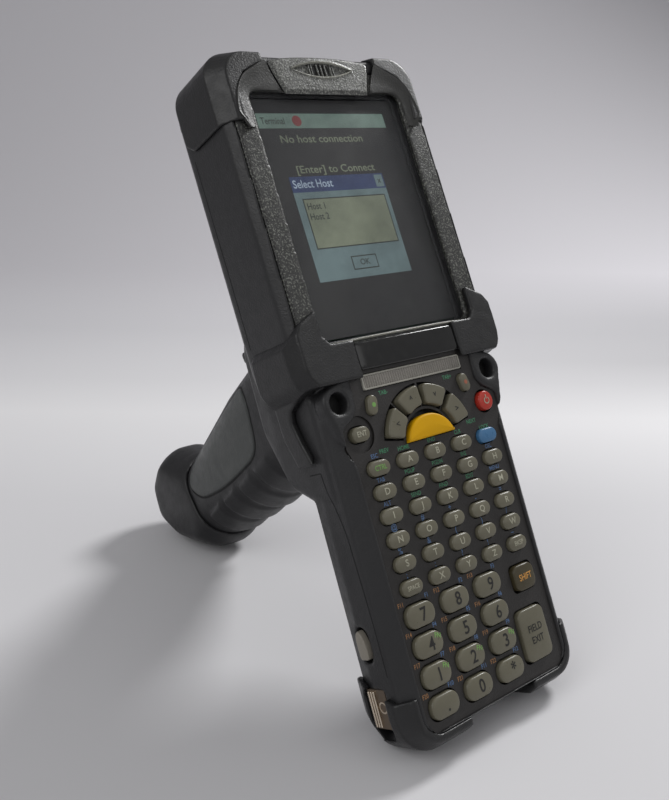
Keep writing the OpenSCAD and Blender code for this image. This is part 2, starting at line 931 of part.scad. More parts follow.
// The blade hangs from its pin, ahead of the grip's front edge, hollowed for a finger
module trigger() {
    len = trigger_len;
    color(black_colour) place() grip_frame() difference() {
        translate([0, pin_at[0], pin_at[1]]) rotate([0, 90, 0])
            linear_extrude(trigger_w, center = true) difference() {
                union() {
                    circle(3.6);
                    polygon([[3, -2], [3, 9.5], [0, trigger_reach], [-5, trigger_reach + 1.5],
                        [-len + 3, trigger_reach + 3], [-len, trigger_reach + 1.5],
                        [-len - 0.4, trigger_reach - 1.5], [-len + 3, trigger_reach - blade_t], [-5, -2.6]]);
                }
                translate([-len / 2 - 1, trigger_reach + 34]) circle(36);
            }
        translate([0, pin_at[0], pin_at[1]]) rotate([0, 90, 0])
            cylinder(r = pin_r + 0.05, h = 40, center = true);
    }
}

module trigger_pin() {
    color("silver") place() grip_frame() translate([0, pin_at[0], pin_at[1]]) rotate([0, 90, 0])
        cylinder(r = pin_r, h = 27.6, center = true);
}

// A switch on its board, with the plunger that the pulled trigger meets
module trigger_switch() {
    board_w = grip_w - 2 * grip_wall - 0.6;
    lever = switch_t - pin_at[1];
    blade_slope = (trigger_reach - blade_t + 2.6) / (trigger_len - 8);
    blade_back = pin_at[0] - 2.6 + (lever - 5) * blade_slope;
    tip_y = blade_back - lever * sin(trigger_pull) - 0.3;
    color("#1f5a3c") place() grip_frame() translate([0, tip_y, switch_t]) {
        translate([0, -7.6, 2]) cube([board_w, 1.6, 26], center = true);
        translate([0, -4.8, 0]) cube([10, 4, 12], center = true);
        translate([0, -2.8, 0]) rotate([-90, 0, 0]) cylinder(r = plunger_r, h = 2.8);
    }
}

module base_roll(y, z, r) {
    translate([0, y, z]) rotate([0, 90, 0]) {
        cylinder(r = r, h = grip_w - 24, center = true, $fn = 32);
        cylinder(r = r - 2.5, h = grip_w - 12, center = true, $fn = 32);
        cylinder(r = r - 7, h = grip_w, center = true, $fn = 32);
    }
}

module grip_base() {
    color(rubber_colour) place() difference() {
        union() {
            hull() {
                grip_frame() grip_level(grip_len - 6, grip_w - 1, grip_waist + 2);
                base_roll(cuff_at[0], cuff_at[1], cuff_r);
                base_roll(brow_at[0], brow_at[1], brow_r);
            }
            hull() {
                base_roll(cuff_at[0], cuff_at[1], cuff_r);
                base_roll(brow_at[0], brow_at[1], brow_r);
                base_roll(heel_y, heel_z, heel_r);
                base_roll(toe_y, toe_z, toe_r);
                base_roll(toe_y - sole_w, toe_z, toe_r);
            }
        }
        grip_frame() hull() {
            grip_level(swell_t, grip_w, grip_swell);
            grip_level(grip_len, grip_w - 3, grip_waist);
        }
    }
}

// ---- Fasteners ----

module housing_screws() {
    color("silver") place() for (s = [-1, 1]) translate([s * screw_at[0], screw_at[1], 0]) {
        translate([0, 0, screw_hole_z]) difference() {
            cylinder(r = 2.7, h = 1.8);
            translate([0, 0, 0.8]) cylinder(r = 1.3, h = 2, $fn = 6);
        }
        translate([0, 0, -21]) cylinder(r = 1.4, h = 15.1);
    }
}

front_housing();
rear_housing();
display_bezel();
keypad_plate();
touch_panel();
lcd_module();
beeper_cover();
beeper();
name_plate();
status_window();
main_board();
keypad_board();
scan_engine();
scan_window();
battery_pack();
battery_latch(-1);  // battery_latch_left
battery_latch(1);  // battery_latch_right
top_bumper(-1);  // top_bumper_left
top_bumper(1);  // top_bumper_right
side_bumper(-1);  // side_bumper_left
side_bumper(1);  // side_bumper_right
foot_bumper();
contact_plates();
grip_shell(-1);  // grip_shell_left
grip_shell(1);  // grip_shell_right
grip_base();
trigger();
trigger_pin();
trigger_switch();
housing_screws();
scan_key();
power_key();
enter_key();
blue_key();
shift_key();
field_key();
nav_key(0);  // nav_key_left
nav_key(1);  // nav_key_up
nav_key(2);  // nav_key_down
nav_key(3);  // nav_key_right
oval_key(-1);  // oval_key_left
oval_key(1);  // oval_key_right
number_key(1, 1);  // number_key_7
number_key(1, 2);  // number_key_8
number_key(1, 3);  // number_key_9
number_key(2, 1);  // number_key_4
number_key(2, 2);  // number_key_5
number_key(2, 3);  // number_key_6
number_key(3, 1);  // number_key_1
number_key(3, 2);  // number_key_2
number_key(3, 3);  // number_key_3
number_key(4, 1);  // point_key
number_key(4, 2);  // number_key_0
number_key(4, 3);  // star_key
letter_keys(1, 4);  // letter_keys_row_1
letter_keys(2);  // letter_keys_row_2
letter_keys(3);  // letter_keys_row_3
letter_keys(4);  // letter_keys_row_4
letter_keys(5);  // letter_keys_row_5
letter_keys(6);  // letter_keys_row_6
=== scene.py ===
import json
import math

import bmesh
import bpy
import numpy as np
from mathutils import Matrix, Vector
from mathutils.bvhtree import BVHTree
from mathutils.geometry import delaunay_2d_cdt


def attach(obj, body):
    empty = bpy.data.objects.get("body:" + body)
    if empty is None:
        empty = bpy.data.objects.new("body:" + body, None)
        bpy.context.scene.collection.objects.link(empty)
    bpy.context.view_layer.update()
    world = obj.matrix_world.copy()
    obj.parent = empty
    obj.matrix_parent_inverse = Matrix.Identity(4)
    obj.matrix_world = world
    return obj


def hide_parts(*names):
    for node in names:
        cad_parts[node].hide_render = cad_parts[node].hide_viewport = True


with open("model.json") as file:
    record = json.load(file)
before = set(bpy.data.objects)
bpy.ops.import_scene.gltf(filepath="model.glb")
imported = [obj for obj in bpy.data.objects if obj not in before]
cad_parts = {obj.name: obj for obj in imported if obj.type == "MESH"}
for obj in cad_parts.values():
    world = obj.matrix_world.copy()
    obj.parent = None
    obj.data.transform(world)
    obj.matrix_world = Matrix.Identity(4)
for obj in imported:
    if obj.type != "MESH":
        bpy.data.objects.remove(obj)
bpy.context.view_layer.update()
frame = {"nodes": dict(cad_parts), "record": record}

# ---- The terminal's own axes, in millimetres, and where it stands, in metres ----

MM = 0.001
LEAN = math.radians(25.5)
HEAD_TILT, BEND_Y = -2.4, 33.4
# It stands on the edge where the foot's underside turns, and the toe of the grip is at the back
FOOT_Y, FOOT_TURN, FOOT_LIP, FOOT_RIM = -87.7, 16.0, 2.4, 1.0
TOE_Y, TOE_DEPTH, TOE_R = 11.0, 173.0, 10.0
GROUND = FOOT_Y * math.cos(LEAN) - FOOT_TURN * math.sin(LEAN)
FRONT_Y = (FOOT_Y + FOOT_LIP) * math.sin(LEAN) - FOOT_RIM * math.cos(LEAN)
BACK_Y = TOE_Y * math.sin(LEAN) + TOE_DEPTH * math.cos(LEAN) + TOE_R
MID_Y = (FRONT_Y + BACK_Y) / 2
SIDES = ((-1, "left"), (1, "right"))


def move(x, y, z):
    return Matrix.Translation((x, y, z))


def turn(degrees, axis):
    return Matrix.Rotation(math.radians(degrees), 4, axis)


# BODY and HEAD take millimetres to the world; the head is tilted in the body's axes
BODY = Matrix.Scale(MM, 4) @ move(0, -MID_Y, -GROUND) @ Matrix.Rotation(
    math.radians(90) - LEAN, 4, "X")
HEAD = BODY @ move(0, BEND_Y, 0) @ turn(HEAD_TILT, "X") @ move(0, -BEND_Y, 0)

# ---- Camera ----

CAMERA_AT = (-0.20422, -0.263513, 0.193065)
HEADING, DOWN, ROLL = -39.4, 17.69, 0.62
FOCAL_PIXELS, PHOTO_PIXELS, SENSOR = 917.8, 669.0, 36.0
camera = bpy.data.objects.new("camera", bpy.data.cameras.new("camera"))
bpy.context.collection.objects.link(camera)
camera.data.sensor_fit = "HORIZONTAL"
camera.data.sensor_width = SENSOR
camera.data.lens = FOCAL_PIXELS / PHOTO_PIXELS * SENSOR
camera.matrix_world = (move(*CAMERA_AT) @ turn(HEADING, "Z") @ turn(90 - DOWN, "X")
                       @ turn(ROLL, "Z"))
bpy.context.scene.camera = camera

# ---- Materials ----

M = {}


def node_tree(name):
    """The nodes and the shader of a new material, which is kept in M by its name."""
    M[name] = bpy.data.materials.new(name)
    M[name].use_nodes = True
    tree = M[name].node_tree
    tree.nodes.clear()
    out = tree.nodes.new("ShaderNodeOutputMaterial")
    shader = tree.nodes.new("ShaderNodeBsdfPrincipled")
    tree.links.new(shader.outputs[0], out.inputs["Surface"])
    return tree, shader


def feed(tree, node, inputs):
    """Links or sets the inputs of a node."""
    for key, value in inputs.items():
        if isinstance(value, bpy.types.NodeSocket):
            tree.links.new(value, node.inputs[key])
        else:
            node.inputs[key].default_value = value


def add(tree, kind, inputs=None, **props):
    """A node, with its properties and its inputs."""
    made = tree.nodes.new(kind)
    for key, value in props.items():
        setattr(made, key, value)
    feed(tree, made, inputs or {})
    return made


def noise(tree, scale, detail, rough=0.5):
    """Noise over the object's own axes; the scale is in waves to the metre."""
    place = add(tree, "ShaderNodeTexCoord").outputs["Object"]
    return add(tree, "ShaderNodeTexNoise", {"Vector": place, "Scale": scale, "Detail": detail,
                                            "Roughness": rough}).outputs["Fac"]


def ramp(tree, fac, *stops):
    made = add(tree, "ShaderNodeValToRGB", {"Fac": fac})
    points = made.color_ramp.elements
    while len(points) < len(stops):
        points.new(0.5)
    for point, (at, colour) in zip(points, stops):
        point.position = at
        point.color = (*colour, 1.0)
    return made.outputs["Color"]


def grey(value):
    return (value, value, value)


def mix(tree, fac, a, b):
    """The socket's colour a where fac is 0, and the fixed colour b where it is 1."""
    made = add(tree, "ShaderNodeMix", {0: fac, 6: a, 7: (*b, 1.0)}, data_type="RGBA")
    return made.outputs[2]


# Waves to the metre of the colour's and the gloss's slow changes, and the grain's size in metres
COLOUR_WAVES, GLOSS_WAVES, GRAIN_SIZE, GRAIN_STRENGTH = 45.0, 320.0, 0.0006, 0.35
GLOSS_SPREAD, GLOSS_LIMIT = 0.07, 0.02


def moulded(name, colour, rough=0.5, vary=0.25, grain=0.00035, specks=None, speck_size=0.0006,
            speck_share=0.28, coat=0.0, metallic=0.0, specular=0.4):
    """Moulded plastic, rubber or metal: slow colour variation, fine grain and specks."""
    tree, shader = node_tree(name)
    low = [c * (1 - vary) for c in colour]
    high = [c * (1 + vary) for c in colour]
    base = ramp(tree, noise(tree, COLOUR_WAVES, 4.0, 0.6), (0.3, low), (0.7, high))
    if specks:
        where = ramp(tree, noise(tree, 1 / speck_size, 1.0),
                     (0.66 - speck_share * 0.5, grey(0.0)), (0.70, grey(1.0)))
        base = mix(tree, where, base, specks)
    dull = ramp(tree, noise(tree, GLOSS_WAVES, 3.0),
                (0.3, grey(max(GLOSS_LIMIT, rough - GLOSS_SPREAD))),
                (0.7, grey(rough + GLOSS_SPREAD)))
    bump = add(tree, "ShaderNodeBump", {"Height": noise(tree, 1 / GRAIN_SIZE, 2.0),
                                        "Distance": grain, "Strength": GRAIN_STRENGTH})
    feed(tree, shader, {"Base Color": base, "Roughness": dull, "Normal": bump.outputs["Normal"],
                        "Metallic": metallic, "Coat Weight": coat, "Coat Roughness": 0.08,
                        "Specular IOR Level": specular})


def glass(name, colour, rough, alpha):
    """A clear pane, as a thin see-through gloss with smears and dust."""
    tree, shader = node_tree(name)
    smear = ramp(tree, noise(tree, 70.0, 5.0), (0.35, grey(rough)), (0.75, grey(rough + 0.10)))
    dust = ramp(tree, noise(tree, 32.0, 7.0, 0.62), (0.42, grey(alpha)),
                (0.72, grey(alpha + 0.26)))
    feed(tree, shader, {"Base Color": (*colour, 1.0), "Roughness": smear, "Alpha": dust,
                        "Specular IOR Level": 0.35})


moulded("shell", (0.019, 0.019, 0.020), rough=0.42, vary=0.10)
moulded("rubber", (0.014, 0.014, 0.0145), rough=0.38, vary=0.12)
moulded("boot", (0.014, 0.014, 0.015), rough=0.44, vary=0.10)
moulded("petal", (0.034, 0.034, 0.032), rough=0.44, vary=0.15)
moulded("panel", (0.042, 0.046, 0.044), rough=0.38, vary=0.06)
# Pale rims, made brighter as a painted highlight
moulded("pale_rim_and_highlight", (0.20, 0.20, 0.17), rough=0.32, vary=0.3)
# Dark joints, and painted shade in hollows
moulded("dark_joint_and_shade", (0.003, 0.003, 0.003), rough=0.7, vary=0.05)
moulded("bezel", (0.022, 0.022, 0.021), rough=0.36, vary=0.08, specks=(0.15, 0.155, 0.135))
moulded("silver", (0.070, 0.071, 0.066), rough=0.3, vary=0.1, specks=(0.27, 0.275, 0.25),
        speck_size=0.0005, speck_share=0.36)
moulded("plate", (0.023, 0.021, 0.020), rough=0.42, vary=0.08)
moulded("key", (0.128, 0.119, 0.084), rough=0.34, vary=0.08, grain=0.0001)
moulded("latch", (0.24, 0.22, 0.185), rough=0.35, vary=0.06, grain=0.0001)
moulded("amber", (0.62, 0.33, 0.003), rough=0.45, vary=0.05, grain=0.0001, specular=0.15)
moulded("red", (0.42, 0.035, 0.022), rough=0.3, vary=0.05, grain=0.0001)
moulded("blue", (0.050, 0.145, 0.28), rough=0.32, vary=0.05, grain=0.0001)
moulded("olive", (0.052, 0.043, 0.022), rough=0.36, vary=0.08, grain=0.0001)
moulded("gloss", (0.006, 0.006, 0.006), rough=0.16, vary=0.05, grain=0.00002, coat=0.2)
moulded("black", (0.012, 0.012, 0.013), rough=0.4, vary=0.05)
moulded("board", (0.015, 0.10, 0.045), rough=0.35)
moulded("steel", (0.50, 0.50, 0.50), rough=0.25, metallic=1.0, grain=0.00005)
moulded("contact", (0.15, 0.115, 0.085), rough=0.35, metallic=0.6, grain=0.00005)
moulded("spring", (0.72, 0.62, 0.50), rough=0.25, metallic=1.0, grain=0.00005)
moulded("red_window", (0.035, 0.003, 0.004), rough=0.08, grain=0.00001, coat=0.5)
moulded("light_bar", (0.25, 0.235, 0.21), rough=0.22, vary=0.25, grain=0.0001)
moulded("bar_rim", (0.34, 0.33, 0.29), rough=0.25, vary=0.2, grain=0.0001)
moulded("screen", (0.010, 0.011, 0.012), rough=0.2, vary=0.05, grain=0.00001)
glass("glass", (0.070, 0.072, 0.076), 0.06, 0.05)

# Slots of the record whose material has another name
SLOT_LOOKS = {"grip_shell": "boot", "amber_key": "amber", "red_key": "red", "blue_key": "blue",
              "olive_key": "olive", "gloss_black": "gloss"}
slot_of = {part["node"]: part["material_slot"] for part in frame["record"]["subparts"]}
for name, slot in slot_of.items():
    node = frame["nodes"][name]
    node.data.materials.clear()
    node.data.materials.append(M[SLOT_LOOKS.get(slot, slot)])
# The board under the keys takes the black material, so the gaps round the keys show dark as
# painted shade
frame["nodes"]["keypad_board"].data.materials[0] = M["black"]

# ---- Mesh tools. Shapes are drawn in millimetres and put in place by a matrix ----

class Build:
    """Collects faces, with their materials, for one piece."""

    def __init__(self):
        self.verts, self.faces, self.slots, self.mats = [], [], [], []

    def add(self, verts, faces, mat, matrix=None):
        if mat not in self.mats:
            self.mats.append(mat)
        start = len(self.verts)
        self.verts += [tuple(matrix @ Vector(v)) if matrix else tuple(v) for v in verts]
        self.faces += [[start + i for i in face] for face in faces]
        self.slots += [self.mats.index(mat)] * len(faces)

    def piece(self, name, matrix, body, stands_for=(), smooth=40):
        mesh = bpy.data.meshes.new(name)
        mesh.from_pydata([tuple(matrix @ Vector(v)) for v in self.verts], [], self.faces)
        for mat in self.mats:
            mesh.materials.append(M[mat])
        for polygon, index in zip(mesh.polygons, self.slots):
            polygon.material_index = index
        mesh.update()
        return finish_piece(name, mesh, body, stands_for, smooth)


def finish_piece(name, mesh, body, stands_for=(), smooth=40):
    made = bpy.data.objects.new(name, mesh)
    bpy.context.collection.objects.link(made)
    if smooth:
        mesh.polygons.foreach_set("use_smooth", [True] * len(mesh.polygons))
        if smooth < 180:
            mesh.set_sharp_from_angle(angle=math.radians(smooth))
    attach(made, body)
    if stands_for:
        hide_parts(*stands_for)
    return made


def arc(cx, cy, r, a0, a1, n):
    return [(cx + r * math.cos(math.radians(a0 + (a1 - a0) * i / n)),
             cy + r * math.sin(math.radians(a0 + (a1 - a0) * i / n))) for i in range(n + 1)]


def circle(r, n=30):
    """A round outline of n points, the first of them on the X axis."""
    return arc(0, 0, r, 0, 360 - 360 / n, n - 1)


def rect(x0, y0, x1, y1):
    return [(x0, y0), (x1, y0), (x1, y1), (x0, y1)]


def round_rect(w, h, r, n=6):
    x, y = w / 2 - r, h / 2 - r
    return (arc(x, y, r, 0, 90, n) + arc(-x, y, r, 90, 180, n) + arc(-x, -y, r, 180, 270, n)
            + arc(x, -y, r, 270, 360, n))


def stadium(w, h, n=12):
    x = (w - h) / 2
    return arc(x, 0, h / 2, -90, 90, n) + arc(-x, 0, h / 2, 90, 270, n)


def flat_face(build, outline, z, mat, at=(0, 0)):
    """A face that looks along Z, with its outline moved to a place."""
    build.add([(at[0] + x, at[1] + y, z) for x, y in outline], [tuple(range(len(outline)))], mat)


def inset(points, d):
    """The outline moved inwards by d, for convex outlines that run counter-clockwise."""
    out = []
    for i, p in enumerate(points):
        a, b = Vector(points[i - 1]), Vector(points[(i + 1) % len(points)])
        along = (b - a).normalized()
        out.append((p[0] - along.y * d, p[1] + along.x * d))
    return out


def stack(rings, close_low=True, close_high=True):
    """Faces over a stack of equally long rings of points."""
    n = len(rings[0])
    verts = [p for ring in rings for p in ring]
    faces = []
    for k in range(len(rings) - 1):
        for i in range(n):
            j = (i + 1) % n
            faces.append((k * n + i, k * n + j, (k + 1) * n + j, (k + 1) * n + i))
    if close_low:
        faces.append(tuple(reversed(range(n))))
    if close_high:
        faces.append(tuple(range((len(rings) - 1) * n, len(rings) * n)))
    return verts, faces


def dome(outline, z1, crown):
    """Height of a crowned top as a function of place, for a cap and for what lies on it."""
    w = max(p[0] for p in outline)
    h = max(p[1] for p in outline)
    return lambda x, y: z1 - crown * 0.5 * ((x / w) ** 2 + (y / h) ** 2)


EDGE_STEPS, TOP_STEPS = 5, 6


def cap(outline, z0, z1, edge=0.5, crown=0.6):
    """A key cap: upright sides, a rounded edge and a crowned top whose middle is at z1."""
    top = dome(outline, z1, crown)
    rings = [[(x, y, z0) for x, y in outline]]
    for k in range(EDGE_STEPS + 1):
        a = math.radians(90 * k / EDGE_STEPS)
        ring = inset(outline, edge * (1 - math.cos(a)))
        rings.append([(x, y, top(x, y) - edge + edge * math.sin(a)) for x, y in ring])
    rim = rings[-1]
    cx = sum(p[0] for p in rim) / len(rim)
    cy = sum(p[1] for p in rim) / len(rim)
    for k in range(TOP_STEPS - 1, 0, -1):
        s = k / TOP_STEPS
        ring = [(cx + (x - cx) * s, cy + (y - cy) * s) for x, y, z in rim]
        rings.append([(x, y, top(x, y)) for x, y in ring])
    verts, faces = stack(rings, close_high=False)
    n = len(outline)
    verts.append((cx, cy, top(cx, cy)))
    last = (len(rings) - 1) * n
    faces += [(last + i, last + (i + 1) % n, len(verts) - 1) for i in range(n)]
    return verts, faces


def cut_grid(mesh, step):
    """Cuts flat faces along a square grid, so that they can follow a curved top."""
    work = bmesh.new()
    work.from_mesh(mesh)
    for axis in (0, 1):
        reach = [v.co[axis] for v in work.verts]
        normal = Vector((1 - axis, axis, 0))
        for k in range(math.ceil(min(reach) / step), math.floor(max(reach) / step) + 1):
            bmesh.ops.bisect_plane(work, geom=work.verts[:] + work.edges[:] + work.faces[:],
                                   plane_co=normal * k * step, plane_no=normal)
    work.to_mesh(mesh)
    work.free()


# Capitals stand so high in the font, and letters over this size are cut to follow a crown
CAPITALS, CUT_OVER, CUT_STEP = 0.69, 1.5, 0.7
letter_meshes = {}


def letters(text, size, bold):
    """Filled letters, centred on the origin, with size as the height of the capitals."""
    key = (text, size, bold)
    if key not in letter_meshes:
        font = bpy.data.curves.new("letters", "FONT")
        font.body, font.size, font.offset = text, size / CAPITALS, bold * size
        font.align_x, font.align_y, font.resolution_u = "CENTER", "CENTER", 3
        shown = bpy.data.objects.new("letters", font)
        bpy.context.collection.objects.link(shown)
        mesh = evaluated(shown)
        if size > CUT_OVER:
            cut_grid(mesh, CUT_STEP)
        letter_meshes[key] = ([tuple(v.co) for v in mesh.vertices],
                              [tuple(p.vertices) for p in mesh.polygons])
        bpy.data.objects.remove(shown)
        bpy.data.curves.remove(font)
        bpy.data.meshes.remove(mesh)
    return letter_meshes[key]


def lay(build, text, size, at, z, mat, squeeze=1.0, angle=0, bold=0.02):
    """Lays letters at a point; z is a height, or a function of x and y that gives it."""
    verts, faces = letters(text, size, bold)
    place = move(at[0], at[1], 0) @ turn(angle, "Z")
    out = []
    for x, y, _ in verts:
        p = place @ Vector((x * squeeze, y, 0))
        out.append((p.x, p.y, z(p.x, p.y) if callable(z) else z))
    build.add(out, faces, mat)


# ---- CAD shapes with their edges worn round, and details laid on them ----

def soften(nodes, voxel, rounds, keep, swell):
    """The nodes' surface on an even grid, in the body's millimetres: its edges are rounded, it
    is moved outwards by swell so that thin skins stay whole, and a share of faces is kept."""
    work = bmesh.new()
    for node in nodes:
        source = frame["nodes"][node]
        part = source.data.copy()
        part.transform(BODY.inverted() @ source.matrix_world)
        work.from_mesh(part)
        bpy.data.meshes.remove(part)
    mesh = bpy.data.meshes.new("soft")
    work.to_mesh(mesh)
    work.free()
    shape = bpy.data.objects.new("soft", mesh)
    bpy.context.collection.objects.link(shape)
    grid = shape.modifiers.new("grid", "REMESH")
    grid.mode, grid.voxel_size = "VOXEL", voxel
    smooth = shape.modifiers.new("smooth", "SMOOTH")
    smooth.iterations, smooth.factor = rounds, 0.5
    soft = evaluated(shape)
    if swell:
        count = len(soft.vertices)
        points, normals = np.empty(count * 3), np.empty(count * 3)
        soft.vertices.foreach_get("co", points)
        soft.vertices.foreach_get("normal", normals)
        soft.vertices.foreach_set("co", points + normals * swell)
        soft.update()
    shape.data = soft
    shape.modifiers.clear()
    shape.modifiers.new("fewer", "DECIMATE").ratio = keep
    soft = evaluated(shape)
    bpy.data.objects.remove(shape)
    return soft


def evaluated(shape):
    return bpy.data.meshes.new_from_object(
        shape.evaluated_get(bpy.context.evaluated_depsgraph_get()))


def worn(name, mat, nodes=(), body="terminal", voxel=0.7, rounds=6, keep=0.4, swell=0.0):
    """Replaces CAD nodes by their softened form, and gives that form as a surface."""
    nodes = list(nodes) or [name]
    mesh = soften(nodes, voxel, rounds, keep, swell)
    surface = Surface(mesh)
    mesh.transform(BODY)
    mesh.materials.append(M[mat])
    finish_piece(name + "_skin", mesh, body, nodes, smooth=180)
    return surface


class Surface:
    """Meshes in the body's millimetres that points can be dropped on."""

    def __init__(self, *meshes):
        self.parts = [BVHTree.FromPolygons([v.co for v in mesh.vertices],
                                           [p.vertices for p in mesh.polygons])
                      for mesh in meshes]

    def join(self, *others):
        both = Surface()
        both.parts = self.parts + [part for other in others for part in other.parts]
        return both

    def drop(self, start, towards):
        """The first point met from a start in a direction, and the normal there."""
        best = None
        for part in self.parts:
            at, normal, _, far = part.ray_cast(start, towards)
            if at and (best is None or far < best[2]):
                best = (at, normal, far)
        return best and best[:2]


OUTSIDE = 90.0


def from_side(side):
    """Places points given as Y and Z on the flank of a side, dropped from well outside it."""
    return lambda u, v: (Vector((side * OUTSIDE, u, v)), Vector((-side, 0, 0)))


def curve(points, closed=True, step=1.0):
    """A smooth line through the points, with dots about one step apart."""
    dots, n = [], len(points)
    for i in range(n if closed else n - 1):
        near = [(i + k) % n if closed else min(max(i + k, 0), n - 1) for k in (-1, 0, 1, 2)]
        p = [Vector(points[j]) for j in near]
        parts = max(1, round((p[2] - p[1]).length / step))
        for k in range(parts):
            t = k / parts
            dots.append(0.5 * (2 * p[1] + (p[2] - p[0]) * t
                               + (2 * p[0] - 5 * p[1] + 4 * p[2] - p[3]) * t ** 2
                               + (3 * p[1] - p[0] - 3 * p[2] + p[3]) * t ** 3))
    return dots if closed else dots + [Vector(points[-1])]


def edge_distance(point, loop):
    best = 1e9
    for i in range(len(loop)):
        a, b = loop[i - 1], loop[i]
        along = b - a
        t = max(0.0, min(1.0, (point - a).dot(along) / max(along.length_squared, 1e-9)))
        best = min(best, (point - a - along * t).length)
    return best


def filled(loop, rims, margin, grid):
    """Dots and faces over a closed line, with rings at the rims' distances inside it and an
    even grid that keeps a margin from it."""
    dots = list(loop)
    for d in rims:
        dots += shifted(loop, d)
    low = [min(p[k] for p in loop) for k in (0, 1)]
    high = [max(p[k] for p in loop) for k in (0, 1)]
    for i in range(int((high[0] - low[0]) / grid)):
        for j in range(int((high[1] - low[1]) / grid)):
            dot = Vector((low[0] + (i + 0.5) * grid, low[1] + (j + 0.5) * grid))
            if inside(dot, loop) and edge_distance(dot, loop) > margin:
                dots.append(dot)
    ring = [(i, (i + 1) % len(loop)) for i in range(len(loop))]
    flat, _, faces, _, _, _ = delaunay_2d_cdt(dots, ring, [], 1, 1e-4)
    return flat, faces


def overlay(build, surface, place, loop, mat, lift, edge, grid=1.6, sink=0.3):
    """A thin raised panel on a surface, with a rounded rim that meets it."""
    dots, faces = filled(loop, (edge, edge * 0.5), edge + 0.4 * grid, grid)
    verts, ok = [], []
    for dot in dots:
        s = min(1.0, edge_distance(dot, loop) / edge)
        height = lift - (lift + sink) * (1 - math.sqrt(1 - (1 - s) ** 2))
        found = surface.drop(*place(*dot))
        ok.append(bool(found))
        verts.append(tuple(found[0] + found[1] * height) if found else (0, 0, 0))
    faces = [f for f in faces if all(ok[i] for i in f)]
    faces = [f if facing(verts, f, place) else tuple(reversed(f)) for f in faces]
    build.add(verts, faces, mat)


def facing(verts, face, place):
    """Whether a face looks back at where its points were dropped from."""
    a, b, c = (Vector(verts[i]) for i in face[:3])
    return (b - a).cross(c - a).dot(place(0, 0)[1]) < 0


def shifted(loop, d):
    """A closed line moved inwards by d, whichever way round it runs."""
    area = sum(loop[i - 1].x * loop[i].y - loop[i].x * loop[i - 1].y for i in range(len(loop)))
    out = []
    for i in range(len(loop)):
        along = (loop[(i + 1) % len(loop)] - loop[i - 1]).normalized()
        out.append(loop[i] + Vector((-along.y, along.x)) * (d if area > 0 else -d))
    return out


def inside(dot, loop):
    within = False
    for i in range(len(loop)):
        a, b = loop[i - 1], loop[i]
        if (a.y > dot.y) != (b.y > dot.y):
            if dot.x < a.x + (b.x - a.x) * (dot.y - a.y) / (b.y - a.y):
                within = not within
    return within


BAND_LIFT, BAND_BREAK = 0.04, 12.0


def ribbon(build, surface, place, line, width, mat, closed=False):
    """A flat band along a line on a surface, left open where the surface steps away."""
    rows, n = [], len(line)
    for i in range(n):
        a = line[i - 1] if closed or i else line[i]
        b = line[(i + 1) % n] if closed or i < n - 1 else line[i]
        along = (b - a).normalized()
        across = Vector((-along.y, along.x)) * 0.5 * width
        found = [surface.drop(*place(*dot)) for dot in (line[i] - across, line[i] + across)]
        rows.append([tuple(at + normal * BAND_LIFT) for at, normal in found]
                    if all(found) else None)
    for i in range(n if closed else n - 1):
        a, b = rows[i], rows[(i + 1) % n]
        if a and b and (Vector(a[0]) - Vector(b[0])).length < BAND_BREAK:
            face = (0, 1, 3, 2)
            if not facing(a + b, face, place):
                face = tuple(reversed(face))
            build.add(a + b, [face], mat)


def extent(node, matrix):
    """Two opposite corners of a node's box, in the millimetres of a frame."""
    source = frame["nodes"][node]
    to_frame = matrix.inverted() @ source.matrix_world
    points = np.array([to_frame @ v.co for v in source.data.vertices])
    return Vector(points.min(axis=0)), Vector(points.max(axis=0))


def even(line, count):
    """A line's points set at even distances along it."""
    line = [Vector(p) for p in line]
    gone = [0.0]
    for a, b in zip(line, line[1:]):
        gone.append(gone[-1] + (b - a).length)
    out, k = [], 0
    for i in range(count):
        want = gone[-1] * i / (count - 1)
        while k < len(line) - 2 and gone[k + 1] < want:
            k += 1
        t = (want - gone[k]) / max(gone[k + 1] - gone[k], 1e-9)
        out.append(line[k].lerp(line[k + 1], min(1.0, t)))
    return out


def sheet(build, rows, mat):
    """Faces over rows of equally many points."""
    n = len(rows[0])
    verts = [p for row in rows for p in row]
    faces = [(r * n + i, r * n + i + 1, (r + 1) * n + i + 1, (r + 1) * n + i)
             for r in range(len(rows) - 1) for i in range(n - 1)]
    build.add(verts, faces, mat)


# ---- Housing, bumpers and grip ----

housing = worn("housing", "shell", ["front_housing", "rear_housing"])
side_skins = [worn(f"side_bumper_{word}", "rubber", voxel=0.45, swell=0.12) for _, word in SIDES]
top_skins = [worn(f"top_bumper_{word}", "rubber", voxel=0.25, rounds=16, keep=0.2, swell=0.12)
             for _, word in SIDES]
foot = worn("foot_bumper", "rubber", voxel=0.55)
worn("display_bezel", "bezel", voxel=0.4, rounds=10, keep=0.3)
grip_skin = worn("grip", "boot", ["grip_shell_left", "grip_shell_right"], rounds=12)
worn("grip_base", "boot", rounds=90, swell=0.5)
worn("battery_pack", "shell", body="battery_pack")
worn("trigger", "gloss", body="trigger", voxel=0.4)
flanks = housing.join(foot, *top_skins, *side_skins)

